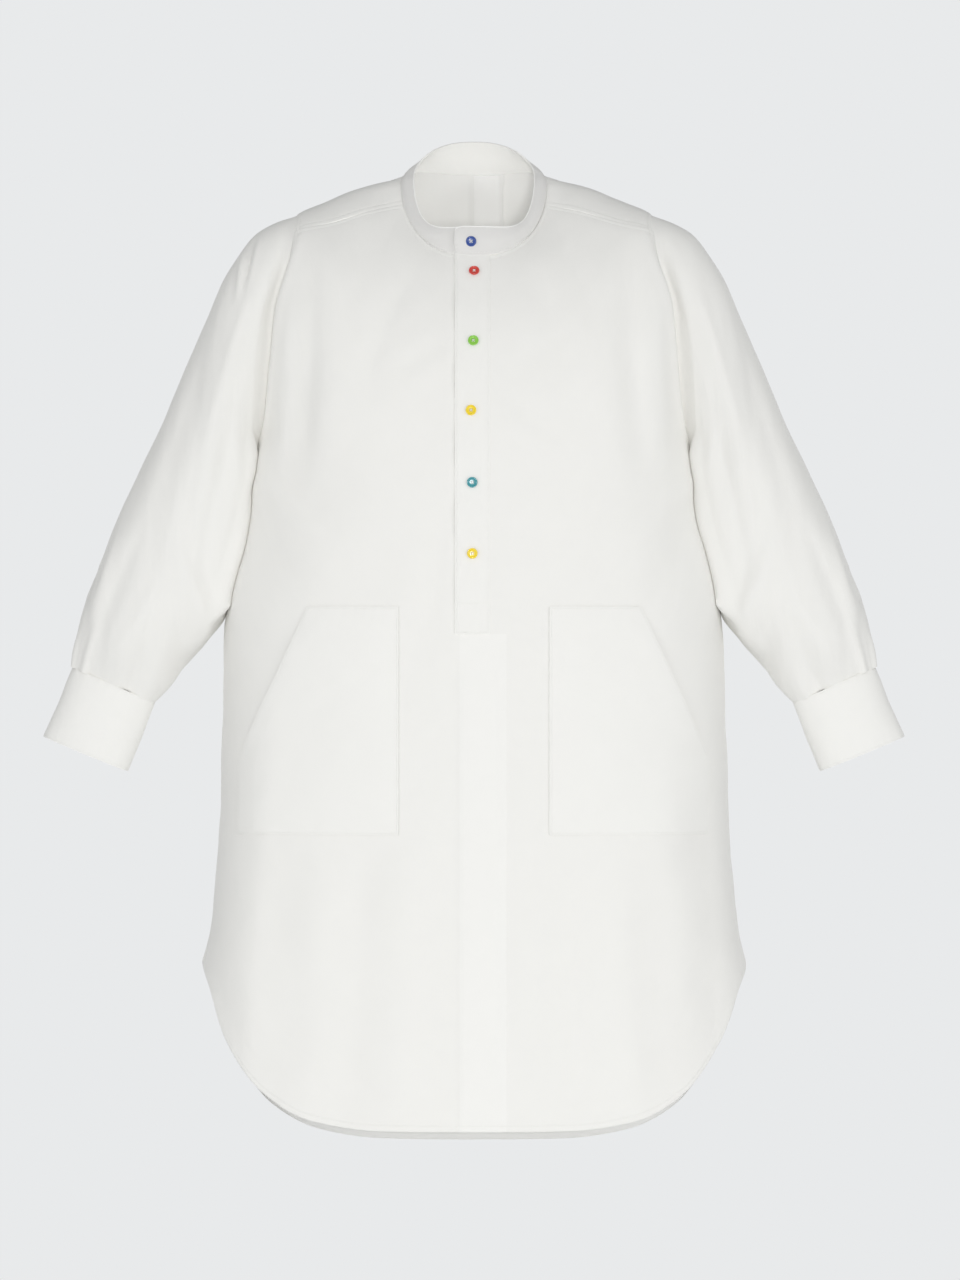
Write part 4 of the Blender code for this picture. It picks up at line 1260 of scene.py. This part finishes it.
def make_plackets():
    """The upper band over the slit, and the lower one just inside it."""
    top = BODY_RINGS[0][3]
    columns = subdivide((PLACKET_LEFT, PLACKET_RIGHT), PLACKET_CELL)
    grid = front_strip_grid(columns, subdivide((PLACKET_END_Z, top), OVER_CELL))
    outer, inner, away = strip(grid, placket_lift, BAND)
    over = shell("placket_over_cloth", outer, inner, DOUBLE)
    stitch_edges("placket_stitches", outer, away, ("bottom", "start", "end"))
    box = (nearest(outer[:, 0, 2], BOX_STITCH_Z), slice(BAND_STITCH, -BAND_STITCH))
    stitch("placket_stitches", outer[box], away[box])
    columns = subdivide((SLIT_LEFT, SLIT_RIGHT), PLACKET_CELL)
    grid = front_strip_grid(columns, subdivide((SLIT_END_Z, top), UNDER_CELL))
    base, normals = body_point(grid), body_normal(grid)
    under = base + normals * front_relief(base[..., 0], base[..., 2])[..., None]
    shape = under.copy()
    for edge in (BOTTOM, START, END):
        inset(under, shape, *edge)
    return over, shell("placket_under_cloth", under, under - normals * BAND, DOUBLE)


def pocket_lift(far, base):
    """A patch pocket is a little full, and its slanted edge stands off where a hand goes in."""
    z = base[..., 2]
    inside = 1.0
    for side in far:
        inside = inside * ramp(far[side], 0, POCKET_FULL["edge"])
    mouth = 1 - ramp(far["end"], 0, POCKET_MOUTH["width"])
    mouth = mouth * ramp(z, POCKET_SLANT_END, POCKET_SLANT_END + POCKET_MOUTH["foot"])
    upper = ramp(z, POCKET_TOP - POCKET_MOUTH["fade"], POCKET_TOP - POCKET_MOUTH["end"])
    full = POCKET_FULL["base"] + POCKET_FULL["height"] * inside
    return LAYER_GAP + CLOTH + full + POCKET_MOUTH["height"] * mouth * (1 - upper)


def make_pocket(name, side):
    """A patch pocket, mirrored for the wearer's right."""
    heights = subdivide((POCKET_BOTTOM, POCKET_SLANT_END, POCKET_TOP), POCKET_CELL)
    slant = (POCKET_TOP - heights) / (POCKET_TOP - POCKET_SLANT_END)
    outer_x = np.minimum(POCKET_CORNER + (POCKET_OUTER - POCKET_CORNER) * slant, POCKET_OUTER)
    share = np.linspace(0, 1, POCKET_STEPS)
    x = POCKET_INNER + (outer_x - POCKET_INNER)[:, None] * share[None]
    place = np.repeat(place_at("front_z", heights)[:, None], len(share), axis=1)
    grid = stacked(angle_at(x, place) * side, place)
    outer, inner, away = strip(grid, pocket_lift, CLOTH)
    stitch_edges("pocket_stitches", outer, away)
    return shell(name + "_cloth", outer, inner, DOUBLE)


def sleeve_relief(turn, place, length, rows):
    """Height of a sleeve's folds, tucks, waves and of the hollow beside the armhole."""
    height = SLEEVE_FOLD_SHARE * folds(rows, turn, length, TURN_LENGTH)
    height = height + waves(turn * TURN_LENGTH + SLEEVE_WAVE_START, length)
    hollow = bell(length - HOLLOW_REACH, HOLLOW_WIDTH) * np.clip(np.sin(np.radians(turn)), 0, 1)
    return height * ramp(length, *SLEEVE_CALM) - HOLLOW_DEPTH * hollow + tuck_height(turn, place)


def surface_tree(*grids):
    """A tree to cast rays on, over grids of points."""
    vertices, faces = [], []
    for grid in grids:
        rows, columns = grid.shape[:2]
        i, j = np.meshgrid(np.arange(rows - 1), np.arange(columns - 1), indexing="ij")
        first = (i * columns + j).ravel() + len(vertices)
        corners = (first, first + 1, first + columns + 1, first + columns)
        faces.extend(np.stack(corners, axis=-1).tolist())
        vertices.extend(grid.reshape(-1, 3).tolist())
    return BVHTree.FromPolygons(vertices, faces)


def lay_against(outer, turn, down, body_tree, side):
    """Lay the inner side of a sleeve on the side of the body, below the armhole."""
    x, y, z = outer[..., 0], outer[..., 1], outer[..., 2]
    near = (from_outer(turn) > CAST_TURN) & (np.abs(y) < CAST_Y) & (down > HELD_FADE[0])
    near &= (z > CAST_Z[0]) & (z < CAST_Z[1])
    held = within(y, HELD_Y) * within(z, HELD_Z)
    settled = ramp(down, *HELD_FADE)
    for i, j in np.argwhere(near):
        start = Vector((side * CAST_FROM, y[i, j], z[i, j]))
        touch = body_tree.ray_cast(start, Vector((-side, 0, 0)))[0]
        if touch is None:
            continue
        rest = abs(touch.x) + HELD_GAP
        away = x[i, j] - rest
        pull = held[i, j] * (1 - ramp(away, *HELD_AWAY))
        outer[i, j, 0] += (rest + max(away * (1 - pull), 0.0) - x[i, j]) * settled[i, j]


def make_sleeve(name, side, body_tree):
    """A sleeve from its seam on the armhole to the cuff, laid against the body's side."""
    def point(grid):
        return sleeve_point(grid[..., 0], grid[..., 1])

    turns = np.linspace(-180, 180, SLEEVE_STEPS + 1)
    places = np.linspace(0, len(SLEEVE_SECTIONS) - 1, SLEEVE_CELLS + 1)
    grid = stacked(*np.meshgrid(turns, places))
    grid = lay_lines(grid, point, SEAM_LINES, 0, False)[:, :-1]
    turn, place = grid[..., 0], grid[..., 1]
    base = point(grid)
    normals = tube_normal(sleeve_point, turn, place)
    down = edge_distances(base)["bottom"]
    edge = armhole(turn[0])
    body, body_side = body_point(edge), body_normal(edge)
    along = np.sum(normals[0] * body_side, axis=-1) > SEAM_FACING
    start = np.where(along[:, None], body_side, normals[0])
    share = (1 - ramp(down, 0, NORMAL_SETTLE))[..., None]
    normals = unit(normals * (1 - share) + start[None] * share)
    rows = SLEEVE_FOLDS + (RIGHT_SLEEVE_FOLDS if side < 0 else ())
    relief = sleeve_relief(turn, place, down, rows)
    z = base[..., 2]
    inner_side = ramp(from_outer(turn), *INNER_TURNS)
    relief += (PRESS - relief) * pressed(base) * inner_side
    relief += UNDERARM_FULLNESS * inner_side * bell(z - UNDERARM_Z, UNDERARM_WIDTH)
    for corner, fullness in INNER_CORNERS:
        relief += fullness * within(z, FULL_Z) * bell(turn - corner, CORNER_TURNS)
    outer = base + normals * relief[..., None]
    front_side = turn[0] > 0
    seam_place = (body[:, 0] * side, body[:, 2])
    cloth = np.where(front_side, front_relief(*seam_place), back_relief(*seam_place))
    sunk = cloth * near_armhole(body) - SIDE_DIP - armhole_sink(edge[:, 1]) * front_side
    seam = body + body_side * sunk[:, None]
    outer += (seam - outer[0])[None] * (1 - ramp(down, 0, SEAM_SETTLE))[..., None]
    lay_against(outer, turn, down, body_tree, side)
    inner = outer - normals * CLOTH
    round_hole = unit(np.roll(body, -1, axis=0) - np.roll(body, 1, axis=0))
    inward = np.cross(body_side, round_hole)
    inward *= np.sign(np.sum(inward * (body - body.mean(axis=0)), axis=-1, keepdims=True))
    tucked = seam + inward * ALLOWANCE - body_side * ALLOWANCE_DEPTH
    outer = np.concatenate((tucked[None], outer))
    inner = np.concatenate(((tucked - body_side * CLOTH)[None], inner))
    return shell(name + "_cloth", mirror(outer, side), mirror(inner, side), SINGLE, closed=True)


def make_cuff(name, side):
    """A doubled band round the wrist whose front end laps over its other end."""
    turns = np.linspace(CUFF_LAP_END - CUFF_LAP, CUFF_LAP_END + 360, CUFF_STEPS)
    places = np.linspace(CUFF_RISE, len(CUFF_SECTIONS) - 1, BAND_ROWS)

    def tube(turn, place):
        return tube_point(CUFF, turn, place)

    grid = stacked(*np.meshgrid(turns, places))
    grid = lay_edges(grid, lambda grid: tube(grid[..., 0], grid[..., 1]), BAND_LINES, EDGES[1:])
    turn, place = grid[..., 0], grid[..., 1]
    base = tube(turn, place)
    normals = tube_normal(tube, turn, place)
    far = edge_distances(base)
    height = CUFF_LIFT + lap_raise(turns[-1] - turn, CUFF_LAP)
    height += CUFF_WAVES * waves(turn * TURN_LENGTH, far["bottom"] * 2)
    sew(height, far, dict.fromkeys(("end", "bottom", "top"), BAND_SEAM))
    outer = base + normals * height[..., None]
    away = grid_normals(outer, normals)
    line = BAND_STITCH
    for rows in ((line, ALL), (-1 - line, ALL), (slice(line, -line), -1 - line)):
        stitch("cuff_stitches", mirror(outer[rows], side), mirror(away[rows], side))
    inner = outer - normals * BAND
    return shell(name + "_cloth", mirror(outer, side), mirror(inner, side), DOUBLE)


def make_collar():
    """A standing band whose end on the wearer's left laps over, with a rounded upper corner."""
    def point(grid):
        return ring_point(COLLAR, grid[..., 0], grid[..., 1])

    first, last = angle_at(PLACKET_LEFT, 0.0), angle_at(PLACKET_RIGHT, 0.0) + 360
    angles = np.linspace(first, last, COLLAR_STEPS)
    share = np.linspace(0, 1, BAND_ROWS)
    degree = math.radians(1) * COLLAR_RINGS[0][0]
    grid = stacked(*np.meshgrid(angles, share * (len(COLLAR_RINGS) - 1)))
    grid = lay_edges(grid, point, BAND_LINES)
    for reach in (grid[..., 0] - first, last - grid[..., 0]):
        past = np.clip(COLLAR_CORNER - reach * degree, 0, COLLAR_CORNER)
        drop = COLLAR_CORNER - np.sqrt(COLLAR_CORNER ** 2 - past ** 2)
        grid[..., 1] *= 1 - drop / COLLAR_HEIGHT
    base = point(grid)
    normals = -ring_normal(COLLAR, grid[..., 0], grid[..., 1])
    far = edge_distances(base)
    height = COLLAR_LIFT + lap_raise(grid[..., 0] - first, COLLAR_LAP)
    height += COLLAR_WAVES * waves(far["start"], far["bottom"])
    curl = (1 - ramp(far["start"], *LAP_CURL_REACH)) * ramp(far["bottom"], *LAP_CURL_RISE)
    height += LAP_CURL * curl
    sew(height, far, dict.fromkeys(far, COLLAR_SEAM))
    outer = base + normals * height[..., None]
    stitch_edges("collar_stitches", outer, grid_normals(outer, normals))
    inner = outer - normals * COLLAR_WALL
    for rows in (outer, inner):
        rows[0] -= np.array([0, 0, COLLAR_TUCK_DOWN]) + normals[0] * COLLAR_TUCK_IN
    # The top rows take the rim's painted highlight
    rim = np.zeros(grid.shape[:2], bool)
    rim[-1 - RIM_HIGHLIGHT_ROWS:] = True
    # The collar's outside takes the darker cotton, which is painted shade
    return shell("collar_cloth", outer, inner, COLLAR_PAINTED_SHADE, lining=DOUBLE,
                 special=(RIM_PAINTED_HIGHLIGHT, rim, False))


def button_seat(x, height):
    """Point and outward direction on the upper band, or on the collar's upper end."""
    if height > BODY_RINGS[0][3]:
        share = (height - COLLAR_RINGS[0][3]) / (COLLAR_RINGS[-1][3] - COLLAR_RINGS[0][3])
        place = np.array(share * (len(COLLAR_RINGS) - 1))
        angle = np.degrees(np.arcsin(x / COLLAR_RINGS[0][0]))
        point, normal = ring_point(COLLAR, angle, place), -ring_normal(COLLAR, angle, place)
        return point + normal * (BUTTON_WALL + LAYER_GAP + BUTTON_STAND), normal
    place = place_at("front_z", height)
    angle = angle_at(x, place)
    point, normal = ring_point(BODY, angle, place), ring_normal(BODY, angle, place)
    relief = front_relief(point[..., 0], point[..., 2])
    return point + normal * (relief + BAND + LAYER_GAP + BUTTON_STAND), normal


def lathe(shape, profile, radius, height, steps):
    """Turn a profile of shares of a radius and a height about the Z axis."""
    line = [shape.verts.new((r * radius * MM, 0, z * height * MM)) for r, z in profile]
    edges = [shape.edges.new(pair) for pair in zip(line, line[1:])]
    bmesh.ops.spin(shape, geom=line + edges, axis=(0, 0, 1), cent=(0, 0, 0), steps=steps,
                   angle=2 * math.pi, use_merge=True)
    bmesh.ops.remove_doubles(shape, verts=shape.verts, dist=1e-6)
    bmesh.ops.recalc_face_normals(shape, faces=shape.faces)


def object_from(shape, name):
    mesh = bpy.data.meshes.new(name)
    shape.to_mesh(mesh)
    shape.free()
    return add_object(name, mesh)


def thread_bar(shape, start, end, radius, rise):
    """A short arched thread between two points."""
    along, up = end - start, Vector((0, 0, 1))
    side = along.cross(up).normalized()
    rings = []
    for k in range(THREAD_RINGS):
        t = k / (THREAD_RINGS - 1)
        centre = start + along * t + up * rise * math.sin(math.pi * t)
        angles = (math.pi * 2 * i / THREAD_SIDES for i in range(THREAD_SIDES))
        rings.append([shape.verts.new(centre + side * radius * math.cos(a)
                                      + up * radius * math.sin(a)) for a in angles])
    for ring, following in zip(rings, rings[1:]):
        for i in range(THREAD_SIDES):
            shape.faces.new((ring[i], ring[i - 1], following[i - 1], following[i]))
    shape.faces.new(rings[0])
    shape.faces.new(rings[-1][::-1])


def add_rod(shape, radius, depth, segments, centre):
    """A short round rod along Z."""
    rod = bmesh.ops.create_cone(shape, cap_ends=True, segments=segments, radius1=radius * MM,
                                radius2=radius * MM, depth=depth * MM)
    bmesh.ops.translate(shape, verts=rod["verts"], vec=centre)


def button_blank(cutter):
    """The mesh of one turned button with its four holes."""
    shape = bmesh.new()
    lathe(shape, BUTTON_PROFILE, BUTTON_RADIUS, BUTTON_HEIGHT, BUTTON_STEPS)
    blank = object_from(shape, "blank")
    cut = blank.modifiers.new("holes", "BOOLEAN")
    cut.operation = "DIFFERENCE"
    cut.solver = "EXACT"
    cut.object = cutter
    depsgraph = bpy.context.evaluated_depsgraph_get()
    mesh = bpy.data.meshes.new_from_object(blank.evaluated_get(depsgraph))
    bpy.data.objects.remove(blank, do_unlink=True)
    mesh.materials.clear()
    return mesh


def button_thread(name, holes):
    """Two crossed bars of thread, with a stem down through each hole."""
    shape = bmesh.new()
    top = Vector((0, 0, THREAD_SEAT * MM))
    for a, b, rise in THREAD_BARS:
        thread_bar(shape, holes[a] + top, holes[b] + top, THREAD_RADIUS * MM, rise * MM)
    middle = Vector((0, 0, (THREAD_SEAT - BUTTON_STAND) / 2 * MM))
    for hole in holes:
        add_rod(shape, THREAD_RADIUS, BUTTON_STAND + THREAD_SEAT, THREAD_SIDES, hole + middle)
    bmesh.ops.recalc_face_normals(shape, faces=shape.faces)
    return object_from(shape, name + "_thread")


def make_buttons():
    """Four-hole buttons with a raised rim, sewn on with crossed white thread."""
    holes = [Vector((math.cos(turn), math.sin(turn), 0)) * HOLE_SPACING * MM
             for turn in (math.radians(45 + 90 * k) for k in range(4))]
    rods = bmesh.new()
    for hole in holes:
        add_rod(rods, HOLE_RADIUS, 4 * BUTTON_HEIGHT, HOLE_STEPS, hole)
    cutter = object_from(rods, "hole_cutter")
    for name, x, height, colour in BUTTONS:
        point, normal = (Vector(values.tolist()) for values in button_seat(x, height))
        turn = Vector((0, 0, 1)).rotation_difference(normal).to_matrix().to_4x4()
        place = Matrix.Translation(point * MM) @ turn
        button = add_object(name + "_turned", button_blank(cutter))
        button.data.transform(place)
        button.data.materials.append(simple_material(name + "_plastic", colour, **PLASTIC))
        smooth(button.data, BUTTON_SHARP)
        belong(button, name)
        thread = button_thread(name, holes)
        thread.data.transform(place)
        thread.data.materials.append(THREAD)
        thread.data.shade_smooth()
        belong(thread)
    bpy.data.objects.remove(cutter, do_unlink=True)


def area_light(name, place, aim, size, share):
    """A square light that gives a surface facing it at its aim a share of full white."""
    away = Vector(aim) - Vector(place)
    data = bpy.data.lights.new(name, "AREA")
    data.shape = "SQUARE"
    data.size = size
    data.energy = share * math.pi ** 2 * away.length ** 2
    light = add_object(name, data)
    light.location = place
    light.visible_camera = False
    light.rotation_mode = "QUATERNION"
    light.rotation_quaternion = away.to_track_quat("-Z", "Y")


def make_studio():
    """A pale floor below the garment, soft light from all round, and the photograph's camera."""
    scene = bpy.context.scene
    shape = bmesh.new()
    bmesh.ops.create_circle(shape, cap_ends=True, segments=96, radius=FLOOR_RADIUS)
    floor = object_from(shape, "floor")
    floor.location = (0, 0, FLOOR_Z)
    pale = simple_material("pale_floor", (0.90, 0.905, 0.91), 0.8, 0.015, scale=3)
    floor.data.materials.append(pale)
    world = bpy.data.worlds.new("studio")
    world.use_nodes = True
    tree = world.node_tree
    background = tree.nodes["Background"]
    background.inputs["Color"].default_value = (*WORLD_COLOUR, 1)
    seen = tree.nodes.new("ShaderNodeLightPath").outputs["Is Camera Ray"]
    strength = tree.nodes.new("ShaderNodeMapRange")
    strength.inputs["To Min"].default_value = WORLD_LIGHT
    strength.inputs["To Max"].default_value = WORLD_SEEN
    tree.links.new(seen, strength.inputs["Value"])
    tree.links.new(strength.outputs["Result"], background.inputs["Strength"])
    scene.world = world
    for light in LIGHTS:
        area_light(*light)
    data = bpy.data.cameras.new("camera")
    data.lens = CAMERA_LENS
    data.sensor_width = CAMERA_SENSOR
    camera = add_object("camera", data)
    camera.location = CAMERA_PLACE
    camera.rotation_euler = (math.pi / 2, 0, 0)
    scene.camera = camera
    scene.view_settings.view_transform = "Standard"
    scene.cycles.diffuse_bounces = 8


def main():
    front, front_points = make_panel(False)
    back, back_points = make_panel(True)
    body_tree = surface_tree(front_points, back_points)
    over, under = make_plackets()
    sit(front, "front")
    sit(back, "back")
    sit(over, "placket_over")
    sit(under, "placket_under")
    for side_name, side in (("left", 1), ("right", -1)):
        pocket = make_pocket("pocket_" + side_name, side)
        sit(pocket, "pocket_" + side_name)
        sleeve = make_sleeve("sleeve_" + side_name, side, body_tree)
        sit(sleeve, "sleeve_" + side_name)
        cuff = make_cuff("cuff_" + side_name, side)
        sit(cuff, "cuff_" + side_name)
    sit(make_collar(), "collar")
    make_buttons()
    make_stitches(THREAD)
    make_studio()


main()
